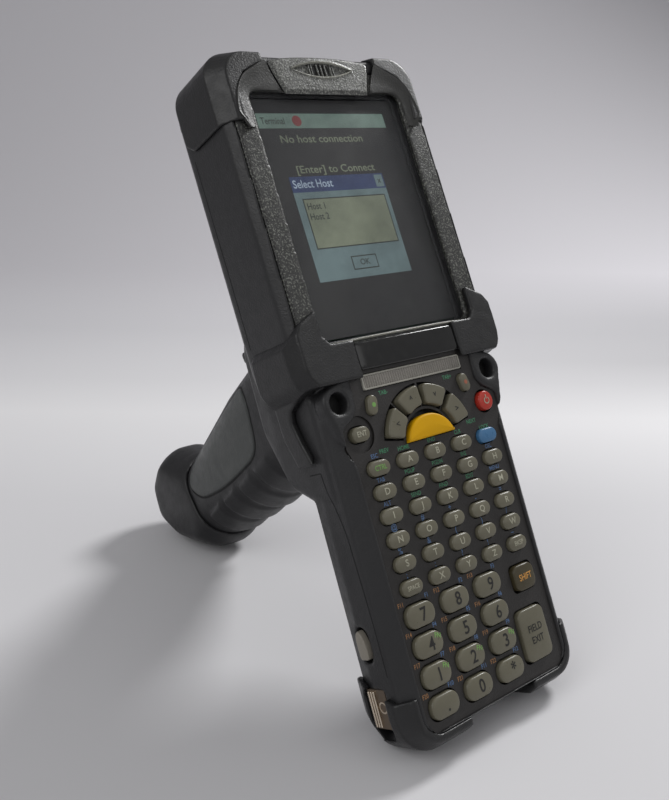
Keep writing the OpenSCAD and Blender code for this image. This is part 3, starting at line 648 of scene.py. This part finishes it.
# Petals: the smooth fields inside the crests of the top bumpers, drawn for the left one.
# The profile has shares of the way from the inner line to the outer, and heights
PETAL_OUT = [(-23.5, 136.2), (-25.4, 135.5), (-29.2, 133.3), (-32.5, 131.5), (-35.3, 128.7),
             (-37.2, 125.3), (-38.3, 121.9), (-38.9, 117.9), (-37.7, 115.9), (-36.2, 112.6)]
PETAL_IN = [(-18.9, 125.6), (-26.2, 125.9), (-30.4, 125.5), (-32.2, 123.6), (-32.7, 120.6),
            (-33.0, 113.6)]
PETAL_PROFILE = ((0, -0.6), (0.03, 0.25), (0.12, 0.42), (0.3, 0.55), (0.5, 0.75), (0.7, 1.15),
                 (0.86, 1.65), (0.95, 1.85), (1, 0.9))
PETAL_DOTS = 40
inner, outer = (even(curve(line, closed=False), PETAL_DOTS) for line in (PETAL_IN, PETAL_OUT))
for side, word in SIDES:
    rows = []
    for s, z in PETAL_PROFILE:
        row = [(-side * (p.x + (q.x - p.x) * s), p.y + (q.y - p.y) * s, z)
               for p, q in zip(inner, outer)]
        rows.append(row[::side])
    build = Build()
    sheet(build, rows, "petal")
    build.piece(f"bumper_field_{word}", HEAD, "terminal", smooth=60)

# Beeper cover: curved at the top, with a rimmed eye where ribs stand over a dark field of painted
# shade
COVER_Z, COVER_EDGE, COVER_GRID = 1.0, 0.9, 0.42
# Lower edge, ends of the crest and the crest's own height, and half widths below and above
COVER_LOW, COVER_TOP, COVER_RISE = 124.9, 135.2, 3.0
COVER_HALF, COVER_REACH = 17.6, 21.2
COVER_FLANK = [(19.0, 128.8), (20.3, 132.2)]
CREST_START, CREST_STEPS = 6, 40
# Half the eye's width and height, its hollow, and the bead and the pale rim round it
EYE_Y, EYE_W, EYE_H, EYE_STEPS = 133.4, 13.2, 2.9, 30
EYE_DEPTH, EYE_SLOPE, BEAD_RISE, BEAD_W = 0.9, 1.6, 0.28, 0.35
RIM_THIN, RIM_GROWTH, RIM_Z, RIM_RISE = 0.16, 0.40, 0.92, 0.34
RIBS_X = (-5.1, -4.08, -1.7, 0, 1.7, 4.08, 5.1)
RIB_HALF, RIB_Z, RIB_SHORT = 0.2, 0.72, 0.35
# Size, corner and height of the dark field: painted shade seen through the slots between the ribs
SHADE_W, SHADE_H, SHADE_R, SHADE_Z = 6.8, 3.8, 1.2, 0.32


def eye_reach(x):
    """Half the height of the eye at a place along it."""
    return EYE_H * max(0.0, 1 - (x / EYE_W) ** 2)


def cover_height(dot, rim):
    """Height of the cover over a point that lies so far inside its outline."""
    height = COVER_Z - COVER_EDGE * max(0.0, 1 - rim / COVER_EDGE) ** 2
    reach = eye_reach(dot.x)
    off = abs(dot.y - EYE_Y) - reach
    if reach > 0.05:
        height += BEAD_RISE * math.exp(-(off / BEAD_W) ** 2)
        if off < 0:
            height -= min(EYE_DEPTH, EYE_SLOPE * -off)
    return height


crest = [(COVER_REACH * math.cos(a), COVER_TOP + COVER_RISE * math.sin(a) ** 0.8)
         for a in (math.radians(CREST_START + (180 - 2 * CREST_START) * k / CREST_STEPS)
                   for k in range(CREST_STEPS + 1))]
loop = [Vector(p) for p in [(COVER_HALF * k / 2, COVER_LOW) for k in range(-2, 3)]
        + COVER_FLANK + crest + [(-x, y) for x, y in reversed(COVER_FLANK)]]
build = Build()
dots, faces = filled(loop, (COVER_EDGE * 0.3, COVER_EDGE * 0.6), COVER_EDGE * 0.8, COVER_GRID)
build.add([(dot.x, dot.y, cover_height(dot, edge_distance(dot, loop))) for dot in dots], faces,
          "silver")
for x in RIBS_X:
    reach = eye_reach(x) - RIB_SHORT
    rib = rect(x - RIB_HALF, EYE_Y - reach, x + RIB_HALF, EYE_Y + reach)
    build.add(*stack([[(*p, z) for p in rib] for z in (0.0, RIB_Z)]), "silver")
# Painted shade under the ribs
flat_face(build, round_rect(SHADE_W, SHADE_H, SHADE_R), SHADE_Z, "dark_joint_and_shade", (0, EYE_Y))
# The pale rim round the eye, made brighter as a painted highlight
for way in (-1, 1):
    rows = []
    for k in range(-EYE_STEPS, EYE_STEPS + 1):
        x = k * EYE_W / EYE_STEPS
        reach = eye_reach(x)
        wide = RIM_THIN + RIM_GROWTH * (reach / EYE_H) ** 0.5
        rows.append([(x, EYE_Y + way * (reach + d * wide), RIM_Z + RIM_RISE * (1 - d * d))
                     for d in (1, 0.7, 0.35, 0, -0.35, -0.7, -1)][::way])
    sheet(build, rows, "pale_rim_and_highlight")
build.piece("beeper_cover_eye", HEAD, "terminal", ["beeper_cover"], smooth=50)

# Light bar: upright ribs inside a bright border
BAR_W, BAR_H, BAR_Y, BAR_R = 44.0, 5.0, 27.0, 0.9
BAR_RIBS, RIB_STEPS, RIB_RISE, RIB_SUNK, RIB_IN = 43, 8, 0.34, 0.42, 0.6
RIB_END, RIB_TOP_END, RIB_END_DROP = 0.55, 0.9, 0.1
# The border's section from its outer edge inwards: insets, and heights from the top
BAR_BORDER = ((0, -0.15), (0.12, -0.03), (0.3, 0), (0.55, -0.05), (0.62, -0.35))
low, high = extent("status_window", BODY)
build = Build()
rim = round_rect(BAR_W, BAR_H, BAR_R)
rings = [[(x, y, low.z) for x, y in rim]]
for d, z in BAR_BORDER:
    rings.append([(x, y, high.z + z) for x, y in inset(rim, d)])
build.add(*stack(rings, close_high=False), "bar_rim", move(0, BAR_Y, 0))
rows = []
for k in range(BAR_RIBS * RIB_STEPS + 1):
    x = -BAR_W / 2 + RIB_IN + k * (BAR_W - 2 * RIB_IN) / (BAR_RIBS * RIB_STEPS)
    z = high.z - RIB_SUNK + RIB_RISE * abs(math.sin(math.pi * k / RIB_STEPS))
    rows.append([(x, BAR_Y - BAR_H / 2 + RIB_END, z - RIB_END_DROP),
                 (x, BAR_Y - BAR_H / 2 + RIB_TOP_END, z), (x, BAR_Y + BAR_H / 2 - RIB_TOP_END, z),
                 (x, BAR_Y + BAR_H / 2 - RIB_END, z - RIB_END_DROP)])
sheet(build, rows, "light_bar")
build.piece("light_bar_ribbed", BODY, "terminal", ["status_window"], smooth=50)

# Name plate, left bare
PLATE_R, PLATE_EDGE, PLATE_CROWN = 1.6, 0.6, 0.12
low, high = extent("name_plate", HEAD)
middle, span = (low + high) / 2, high - low
build = Build()
build.add(*cap(round_rect(span.x, span.y, PLATE_R), low.z, high.z, PLATE_EDGE, PLATE_CROWN),
          "gloss", move(middle.x, middle.y, 0))
build.piece("name_plate_bare", HEAD, "terminal", ["name_plate"])

# Pale bead along the lip of the display's recess, above the name plate: a painted highlight
LIP_Y, LIP_Z, LIP_R, LIP_HALF, LIP_DROP, LIP_STEPS = 41.0, 0.35, 0.45, 31.0, 0.9, 20
build = Build()
rows = []
for k in range(-LIP_STEPS, LIP_STEPS + 1):
    x = LIP_HALF * k / LIP_STEPS
    drop = LIP_DROP * (abs(x) / LIP_HALF) ** 4
    rows.append([(x, LIP_Y - drop * 0.6 + LIP_R * math.cos(a),
                  LIP_Z - drop * 0.2 + LIP_R * math.sin(a))
                 for a in (math.radians(180 - 30 * j) for j in range(7))])
sheet(build, rows, "pale_rim_and_highlight")
build.piece("recess_lip", HEAD, "terminal")

# Fine joints on the flanks, as lines of Y and Z with their widths
FLANK_JOINTS = (
    ([(47, -24.4), (70, -25.3), (95, -26.4), (112, -27.2)], 0.35),
    ([(-62, -5.2), (-44, -5.2), (-25, -5.9), (-15.5, -6.6), (-4, -9.4), (3, -10.4)], 0.4),
    ([(3.0, -10.4), (3.0, -16.5)], 0.4))
for side, word in SIDES:
    build = Build()
    for line, width in FLANK_JOINTS:
        ribbon(build, flanks, from_side(side), curve(line, closed=False), width, "dark_joint_and_shade")
    build.piece(f"flank_joints_{word}", BODY, "terminal", smooth=0)

# Smooth panels on the flanks of the grip, as Y and Z, with a dark joint round them
PANEL = [(41.5, -84), (38, -78.6), (33, -77.3), (27.4, -77.6), (21.5, -78.2), (16.9, -79.8),
         (13.1, -84.2), (10.5, -91.7), (7.7, -101.2), (4.9, -112.9), (3.3, -125.2),
         (3.2, -132.6), (5.2, -138.2), (8.8, -141.9), (12.5, -142.2), (16.8, -140.2),
         (20.8, -133), (26, -121), (31.5, -108), (38, -93)]
PANEL_LIFT, PANEL_EDGE, JOINT_OUT, JOINT_W = 0.35, 0.9, 0.25, 0.9
loop = curve(PANEL, step=1.2)
for side, word in SIDES:
    place = from_side(side)
    build = Build()
    overlay(build, grip_skin, place, loop, "panel", PANEL_LIFT, PANEL_EDGE)
    ribbon(build, grip_skin, place, shifted(loop, -JOINT_OUT), JOINT_W, "dark_joint_and_shade", closed=True)
    build.piece(f"grip_panel_{word}", BODY, "terminal", smooth=180)

# Contacts in the pockets at the foot: blades that run along the flank, and a ring on the plate
BLADES, BLADE_W, BLADE_PITCH, BLADE_FIRST, BLADE_GAP = 3, 0.8, 1.25, 1.0, 1.0
BLADE_LOW, BLADE_HIGH, BLADE_EDGE, BLADE_CROWN = -0.6, 0.75, 0.25, 0.1
RING_OUT, RING_IN, RING_H, RING_AT = 1.9, 1.4, 0.12, (6.2, 0.6)
low, high = extent("contact_plates", BODY)
blade = round_rect(BLADE_W, high.y - low.y - BLADE_GAP, 0.35)
ring = [[(x, y, z) for x, y in circle(r)]
        for r, z in ((RING_OUT, -0.1), (RING_OUT, RING_H), (RING_IN, RING_H), (RING_IN, -0.1))]
for side, word in SIDES:
    build = Build()
    face = move(side * (high.x + 0.02), (low.y + high.y) / 2, low.z) @ turn(side * 90, "Y")
    for k in range(BLADES):
        build.add(*cap(blade, BLADE_LOW, BLADE_HIGH, BLADE_EDGE, BLADE_CROWN), "spring",
                  face @ move(-side * (BLADE_FIRST + k * BLADE_PITCH), 0, 0))
    build.add(*stack(ring, False, False), "spring",
              face @ move(-side * RING_AT[0], RING_AT[1], 0))
    build.piece(f"contact_springs_{word}", BODY, "terminal")

# Battery latches: one flat end and one bowed side, in the slot of the flank
LATCH = [(-1.8, -4.3), (0.2, -4.4), (1.8, -4.2), (2.2, -3.0), (2.25, -1.0), (2.0, 1.2),
         (1.3, 3.2), (0.3, 4.6), (-0.5, 4.8), (-1.4, 4.2), (-2.0, 2.8), (-2.2, 0.5),
         (-2.2, -2.0), (-2.1, -3.6)]
LATCH_DEPTH, LATCH_EDGE, LATCH_CROWN = 2.2, 0.35, 0.25
for side, word in SIDES:
    node = f"battery_latch_{word}"
    low, high = extent(node, BODY)
    loop = [(-side * p.x, p.y) for p in curve(LATCH, step=0.8)][::-side]
    face = move(max(-low.x, high.x) * side, (low.y + high.y) / 2, (low.z + high.z) / 2)
    build = Build()
    build.add(*cap(loop, -LATCH_DEPTH, 0, LATCH_EDGE, LATCH_CROWN), "latch",
              face @ turn(side * 90, "Y"))
    build.piece(node + "_cap", BODY, node, [node])

# Painted shade: dark discs in the deep screw holes of the ears
SCREW_X, SCREW_Y, SCREW_R, SCREW_FLOOR = 33.5, 22.5, 3.3, -3.2
build = Build()
for side, _ in SIDES:
    flat_face(build, circle(SCREW_R), SCREW_FLOOR, "dark_joint_and_shade", (side * SCREW_X, SCREW_Y))
build.piece("screw_hole_shade", BODY, "terminal", smooth=0)

# ---- Keys. A cap reaches from UNDER the plate to its RISE over it ----

for name, colour in (("ink", (0.014, 0.013, 0.012)), ("cream", (0.36, 0.35, 0.27)),
                     ("ink_blue", (0.10, 0.18, 0.34)), ("ink_green", (0.06, 0.23, 0.12)),
                     ("ink_orange", (0.34, 0.17, 0.07)), ("ink_lime", (0.17, 0.36, 0.09)),
                     ("ink_red", (0.36, 0.12, 0.07)), ("ink_amber", (0.55, 0.27, 0.06))):
    moulded(name, colour, rough=0.5, vary=0.12, grain=0.00002)

RISE, UNDER, INK_LIFT, PRINT_Z = 1.8, -1.6, 0.05, 0.03
LETTER_KEY = stadium(8.6, 4.9)
LETTER_PITCH = (12.4, 7.64)
LETTER_EDGE, LETTER_CROWN = 0.55, 0.75
NUMBER_KEY = round_rect(11.6, 7.2, 3.2)
NUMBER_FIRST, NUMBER_PITCH = (-24.4, -47.0), (15.4, 9.5)
NUMBER_EDGE, NUMBER_CROWN = 0.6, 0.7
SHIFT_AT, SHIFT_KEY = (23.4, -49.6), round_rect(10.0, 8.6, 2.6)
FIELD_AT, FIELD_KEY = (21.3, -68.6), round_rect(12.6, 17.4, 2.6)
ENTER_AT, ENTER_KEY, ENTER_RISE = (-28.3, 11.6), stadium(7.0, 4.8), 1.5
OVAL_X, OVAL_Y, OVAL_KEY, OVAL_TURN, OVAL_DOT_R = 20.9, 19.5, stadium(6.4, 3.9), 12, 0.75
# Heights of the capitals on the keys
LETTER_SIZE, WORD_SIZE, LONG_WORD_SIZE, NUMBER_SIZE, SMALL_SIZE = 2.1, 1.6, 1.4, 4.1, 1.5


def letter_at(row, col):
    """Middle of a letter key, counted from 1; the third column is in the middle."""
    return (col - 3) * LETTER_PITCH[0], (1 - row) * LETTER_PITCH[1]


def number_at(row, col):
    """Middle of a number key, counted from 0."""
    return NUMBER_FIRST[0] + col * NUMBER_PITCH[0], NUMBER_FIRST[1] - row * NUMBER_PITCH[1]


def add_cap(build, outline, at, mat, edge=0.5, crown=0.6, rise=RISE, angle=0):
    """Adds a cap at a place, and gives the height just over its top for lettering."""
    build.add(*cap(outline, UNDER, rise, edge, crown), mat, move(*at, 0) @ turn(angle, "Z"))
    top = dome(outline, rise, crown)
    return lambda x, y: top(x - at[0], y - at[1]) + INK_LIFT


LETTERS = [["CTRL", "A", "B", "C"], ["D", "E", "F", "G", "H"], ["I", "J", "K", "L", "M"],
           ["N", "O", "P", "Q", "R"], ["S", "T", "U", "V", "W"], ["SPACE", "X", "Y", "Z", "BKSP"]]
for row, texts in enumerate(LETTERS, 1):
    build = Build()
    for col, text in enumerate(texts, 1):
        top = add_cap(build, LETTER_KEY, letter_at(row, col), "key", LETTER_EDGE,
                      LETTER_CROWN)
        size = LETTER_SIZE
        if len(text) > 1:
            size = WORD_SIZE if len(text) < 5 else LONG_WORD_SIZE
        lay(build, text, size, letter_at(row, col), top, "ink_lime" if text == "CTRL" else "cream",
            squeeze=1.0 if len(text) == 1 else 0.86)
    build.piece(f"letter_caps_{row}", BODY, f"letter_keys_row_{row}",
                [f"letter_keys_row_{row}"])

NUMBERS = [["7", "8", "9"], ["4", "5", "6"], ["1", "2", "3"], [".", "0", "*"]]
SIGN_NODES = {".": "point_key", "*": "star_key"}
for row, texts in enumerate(NUMBERS):
    for col, text in enumerate(texts):
        x, y = number_at(row, col)
        build = Build()
        top = add_cap(build, NUMBER_KEY, (x, y), "key", NUMBER_EDGE, NUMBER_CROWN)
        lay(build, text, NUMBER_SIZE, (x + 0.6, y - 0.1), top, "ink", squeeze=0.9)
        if text in "1234":
            lay(build, "FN", SMALL_SIZE, (x + 3.8, y + 1.7), top, "ink_lime", angle=-20)
        node = SIGN_NODES.get(text, f"number_key_{text}")
        build.piece(node + "_cap", BODY, node, [node])


def one_cap(node, at, outline, mat, slot, words=(), size=2.0, ink="ink", squeeze=0.85, line=0.0,
            **shape):
    """The cap of a key that stands alone, with its words in lines."""
    build = Build()
    top = add_cap(build, outline, at, mat, **shape)
    for k, word in enumerate(words):
        down = (k - (len(words) - 1) / 2) * line
        lay(build, word, size, (at[0], at[1] - down), top, ink, squeeze=squeeze)
    build.piece(node + "_cap", BODY, node, [node])


one_cap("shift_key", SHIFT_AT, SHIFT_KEY, "olive", "olive_key", ["SHIFT"], 2.1, "ink_amber",
        squeeze=0.8)
one_cap("field_key", FIELD_AT, FIELD_KEY, "key", "key", ["FIELD", "EXIT"], 2.3, line=3.9)
one_cap("blue_key", letter_at(1, 5), LETTER_KEY, "blue", "blue_key", crown=0.7)

POWER_AT, POWER_R, POWER_CROWN = (28.3, 11.6), 3.4, 0.7
MARK_IN, MARK_OUT, MARK_START, MARK_STEP, MARK_STROKE = 0.95, 1.3, 125, 15, 0.2
one_cap("power_key", POWER_AT, circle(POWER_R), "red", "red_key", crown=POWER_CROWN)
top = dome(rect(-POWER_R, -POWER_R, POWER_R, POWER_R), RISE + INK_LIFT, POWER_CROWN)
rows = [[(x, y, top(x, y)) for x, y in ((r * math.cos(a), r * math.sin(a))
                                        for r in (MARK_IN, MARK_OUT))]
        for a in (math.radians(MARK_START + MARK_STEP * k) for k in range(20))]
build = Build()
sheet(build, rows, "cream")
build.add([(x, y, top(x, y)) for x, y in rect(-MARK_STROKE, 0.5, MARK_STROKE, 2.0)],
          [(0, 1, 2, 3)], "cream")
build.piece("power_key_mark", BODY @ move(*POWER_AT, 0), "power_key", smooth=0)

one_cap("enter_key", ENTER_AT, ENTER_KEY, "key", "key", ["ENT"], 1.7, "cream", rise=ENTER_RISE)
for side, word in SIDES:
    at = (side * OVAL_X, OVAL_Y)
    build = Build()
    add_cap(build, OVAL_KEY, at, "key", angle=90 + side * OVAL_TURN)
    flat_face(build, circle(OVAL_DOT_R, 24), RISE + PRINT_Z,
              "ink_red" if side > 0 else "ink_lime", at)
    build.piece(f"oval_key_{word}_cap", BODY, f"oval_key_{word}", [f"oval_key_{word}"])

# The scan key is half a disc, pressed flatter, with the navigation keys in a ring over it
RING_Y = 3.6
SCAN_R, SCAN_LOW, SCAN_FLAT = 10.4, 1.27, 0.84
NAV_IN, NAV_OUT, NAV_HALF, NAV_CORNER, NAV_SIGN_R = 12.1, 18.9, 16.2, 1.2, 15.6
half_disc = [(x, SCAN_LOW + (y - SCAN_LOW) * SCAN_FLAT)
             for x, y in arc(0, 0, SCAN_R, 7.0, 173.0, 28)]
one_cap("scan_key", (0, RING_Y), half_disc, "amber", "amber_key", edge=0.7, crown=0.7,
        rise=RISE + 0.2)


def sector(r0, r1, half, corner):
    """A piece of a ring round the Y axis, with rounded corners, as an outline."""
    out = []
    for r, side, quarter in ((r0, 1, 0), (r1, 1, 1), (r1, -1, 2), (r0, -1, 3)):
        grow = corner if r == r0 else -corner
        middle = r + grow
        off = math.degrees(corner / middle)
        a = math.radians(90 - side * (half - off))
        cx, cy = middle * math.cos(a), middle * math.sin(a)
        start = -90 + 90 * quarter - side * (half - off)
        out += arc(cx, cy, corner, start, start + 90, 5)
        if quarter == 1:
            out += arc(0, 0, r1, 90 - half + 2 * off, 90 + half - 2 * off, 10)
        if quarter == 3:
            out += arc(0, 0, r0, 90 + half - 2 * off, 90 - half + 2 * off, 8)
    return out


for word, sign, angle in (("left", "<", 149.5), ("up", "^", 110), ("down", "v", 70),
                          ("right", ">", 30.5)):
    build = Build()
    top = add_cap(build, sector(NAV_IN, NAV_OUT, NAV_HALF, NAV_CORNER), (0, RING_Y), "key", 0.6,
                  0.0, RISE + 0.1, angle - 90)
    a = math.radians(angle)
    at = (NAV_SIGN_R * math.cos(a), RING_Y + NAV_SIGN_R * math.sin(a))
    lay(build, sign, 2.0, at, top, "ink")
    build.piece(f"nav_key_{word}_cap", BODY, f"nav_key_{word}", [f"nav_key_{word}"])

# ---- Print on the keypad plate ----

OVER_KEYS = [["ESC", "HOME", "END", "CLR"], ["TAB", "PGUP", "PGDN", "INS", "DEL"],
             ["ALT", "SEND", "FIND", "EDIT", "MENU"], ["@", "#", "+", "-", "="],
             ["%", "&", "(", ")", "/"], [";", ":", "?", "!", "~"]]
WORD_H, SIGN_H, OVER_KEY, TINY_H = 1.35, 1.9, 3.85, 1.4
F_LEFT, F_RIGHT, F_UP = -6.0, 5.0, 4.75
build = Build()
for row, marks in enumerate(OVER_KEYS, 1):
    for col, mark in enumerate(marks, 1):
        x, y = letter_at(row, col)
        ink = "ink_green" if row <= 3 and 1 < col < 5 else "ink_blue"
        lay(build, mark, WORD_H if len(mark) > 1 else SIGN_H, (x, y + OVER_KEY), PRINT_Z, ink,
            squeeze=0.9, bold=0.01)
for row in range(4):
    for col in range(3):
        x, y = number_at(row, col)
        k = row * 3 + col + 1
        for n, right, ink in ((k + 10, F_LEFT, "ink_orange"), (k, F_RIGHT, "ink_blue")):
            lay(build, f"F{n}", TINY_H, (x + right, y + F_UP), PRINT_Z, ink, squeeze=0.85)
for text, at in (("TAB-", (-14.5, 22.6)), ("TAB+", (14.5, 22.6)), ("PREV", (-20.5, 4.6)),
                 ("NEXT", (20.0, 6.0)), ("LOCK", (25.2, 3.0))):
    lay(build, text, WORD_H, at, PRINT_Z, "ink_green", squeeze=0.9)
build.piece("keypad_print", BODY, "terminal", smooth=0)

# ---- Display ----

PIXEL_WAVES = 900.0


def lit(name, colour, strength):
    """A lit part of the display: glowing colour with a fine pixel grid."""
    tree, shader = node_tree(name)
    tone = ramp(tree, noise(tree, 60.0, 3.0), (0.3, [c * 0.86 for c in colour]), (0.7, colour))
    place = add(tree, "ShaderNodeTexCoord").outputs["Object"]
    grid = add(tree, "ShaderNodeTexWave", {"Vector": place, "Scale": PIXEL_WAVES,
                                           "Distortion": 0.0},
               wave_type="BANDS", bands_direction="X").outputs["Fac"]
    tone = mix(tree, ramp(tree, grid, (0.0, grey(0.0)), (1.0, grey(0.10))), tone, grey(0.0))
    feed(tree, shader, {"Emission Color": tone, "Emission Strength": strength, "Roughness": 0.35,
                        "Base Color": (0.02, 0.02, 0.02, 1.0)})


lit("lcd_dark", (0.020, 0.020, 0.021), 0.20)
lit("lcd_bar", (0.31, 0.47, 0.40), 0.40)
lit("lcd_face", (0.28, 0.42, 0.44), 0.40)
lit("lcd_list", (0.42, 0.48, 0.33), 0.40)
lit("lcd_blue", (0.05, 0.11, 0.36), 0.30)
lit("lcd_text", (0.07, 0.10, 0.08), 0.2)
lit("lcd_pale", (0.40, 0.50, 0.62), 0.85)
lit("lcd_red", (0.42, 0.06, 0.06), 0.40)

# The picture lies in thin layers, from the back to the front
LAYERS = [-3.28, -3.25, -3.23, -3.21, -3.19]
# Fields: layer, left, low, right and high edge, material
FIELDS = (
    (0, -30.4, 42.9, 30.4, 124.6, "lcd_dark"), (1, -29.5, 114.5, 25.2, 119.7, "lcd_bar"),
    (1, -23.8, 61.7, 16.5, 97.6, "lcd_face"), (2, -23.8, 92.2, 16.5, 97.6, "lcd_blue"),
    (3, 12.4, 92.7, 16.0, 97.1, "lcd_face"), (2, -21.0, 72.6, 14.8, 90.0, "lcd_text"),
    (3, -20.6, 73.0, 14.4, 89.6, "lcd_list"), (2, -8.4, 64.4, 2.6, 69.2, "lcd_text"),
    (3, -8.0, 64.8, 2.2, 68.8, "lcd_face"))
# Words: layer, text, size, middle, material, squeeze
WORDS = (
    (2, "Terminal", 2.3, (-23.4, 117.0), "lcd_text", 0.8),
    (1, "No host connection", 2.6, (-5.0, 110.6), "lcd_list", 1.15),
    (1, "[Enter] to Connect", 2.6, (-3.0, 99.9), "lcd_list", 1.15),
    (3, "Select Host", 2.7, (-14.8, 94.9), "lcd_pale", 0.9),
    (4, "x", 2.0, (14.2, 95.0), "lcd_text", 1.0),
    (4, "Host 1", 2.2, (-16.0, 87.2), "lcd_text", 0.9),
    (4, "Host 2", 2.2, (-16.0, 83.6), "lcd_text", 0.9),
    (4, "OK", 2.0, (-2.9, 66.8), "lcd_text", 1.0))
build = Build()
for layer, *edges, mat in FIELDS:
    flat_face(build, rect(*edges), LAYERS[layer], mat)
for layer, text, size, at, mat, squeeze in WORDS:
    lay(build, text, size, at, LAYERS[layer], mat, squeeze=squeeze)
flat_face(build, circle(1.9, 24), LAYERS[2], "lcd_red", (-13.6, 117.1))
build.piece("display_image", HEAD, "terminal", smooth=0)

# ---- Room ----

# A pale floor that bends up into a wall. Its own axes look along the camera's heading
FLOOR_NEAR, FLOOR_BACK, FLOOR_HALF = -3.0, 0.75, 5.0
BEND_R, BEND_STEPS, WALL_TOP = 0.9, 24, 4.0
tree, shader = node_tree("floor")
place = add(tree, "ShaderNodeTexCoord").outputs["Object"]
axes = add(tree, "ShaderNodeSeparateXYZ", {"Vector": place}).outputs
path = add(tree, "ShaderNodeMath", {0: axes["Y"], 1: axes["Z"]}, operation="ADD").outputs[0]
span = add(tree, "ShaderNodeMapRange", {"Value": path, "From Min": -0.2,
                                        "From Max": 0.8}).outputs[0]
# The floor's colour carries painted light: a painted bright band across it, and painted shade
# beyond it, further back and up the wall
tone = ramp(tree, span, (0.30, (0.65, 0.645, 0.66)), (0.44, (0.72, 0.715, 0.725)),
            (0.52, (0.64, 0.635, 0.65)), (0.68, (0.57, 0.565, 0.585)), (0.95, (0.57, 0.56, 0.585)))
# Painted shade: the right of the floor and the wall is darker in a band
right = add(tree, "ShaderNodeMapRange", {"Value": axes["X"], "From Min": 0.0,
                                         "From Max": 0.5}).outputs[0]
painted_shade_band = ramp(tree, span, (0.42, grey(0.0)), (0.58, grey(0.45)), (0.74, grey(0.38)),
            (1.0, grey(0.0)))
shade = add(tree, "ShaderNodeMath", {0: right, 1: painted_shade_band}, operation="MULTIPLY").outputs[0]
feed(tree, shader, {"Base Color": mix(tree, shade, tone, grey(0.0)), "Roughness": 0.9,
                    "Specular IOR Level": 0.1})
profile = [(FLOOR_NEAR, 0.0), (FLOOR_BACK, 0.0)]
profile += [(FLOOR_BACK + BEND_R * math.sin(a), BEND_R * (1 - math.cos(a)))
            for a in (math.radians(90 * k / BEND_STEPS) for k in range(1, BEND_STEPS + 1))]
profile.append((FLOOR_BACK + BEND_R, WALL_TOP))
faces = [(2 * k, 2 * k + 1, 2 * k + 3, 2 * k + 2) for k in range(len(profile) - 1)]
mesh = bpy.data.meshes.new("floor")
mesh.from_pydata([(x, y, z) for y, z in profile for x in (-FLOOR_HALF, FLOOR_HALF)], [], faces)
mesh.materials.append(M["floor"])
mesh.polygons.foreach_set("use_smooth", [True] * len(faces))
floor = bpy.data.objects.new("floor", mesh)
bpy.context.collection.objects.link(floor)
floor.matrix_world = turn(HEADING, "Z")


def light(name, size, power, at, towards):
    data = bpy.data.lights.new(name, "AREA")
    data.shape = "DISK"
    data.size = size
    data.energy = power
    lamp = bpy.data.objects.new(name, data)
    bpy.context.collection.objects.link(lamp)
    lamp.location = at
    lamp.rotation_euler = (Vector(towards) - Vector(at)).to_track_quat("-Z", "Y").to_euler()


world = bpy.data.worlds.new("world")
bpy.context.scene.world = world
world.use_nodes = True
sky = world.node_tree.nodes["Background"]
sky.inputs["Color"].default_value = (0.82, 0.82, 0.83, 1.0)
sky.inputs["Strength"].default_value = 0.47
light("key", 0.35, 12.0, (0.98, 0.04, 0.92), (0, 0, 0.08))
light("fill", 1.0, 5.0, (-1.1, -0.2, 1.0), (0, 0, 0.1))
light("front", 0.8, 1.2, (0.4, -1.1, 0.9), (0, 0, 0.1))
bpy.context.scene.view_settings.view_transform = "Standard"
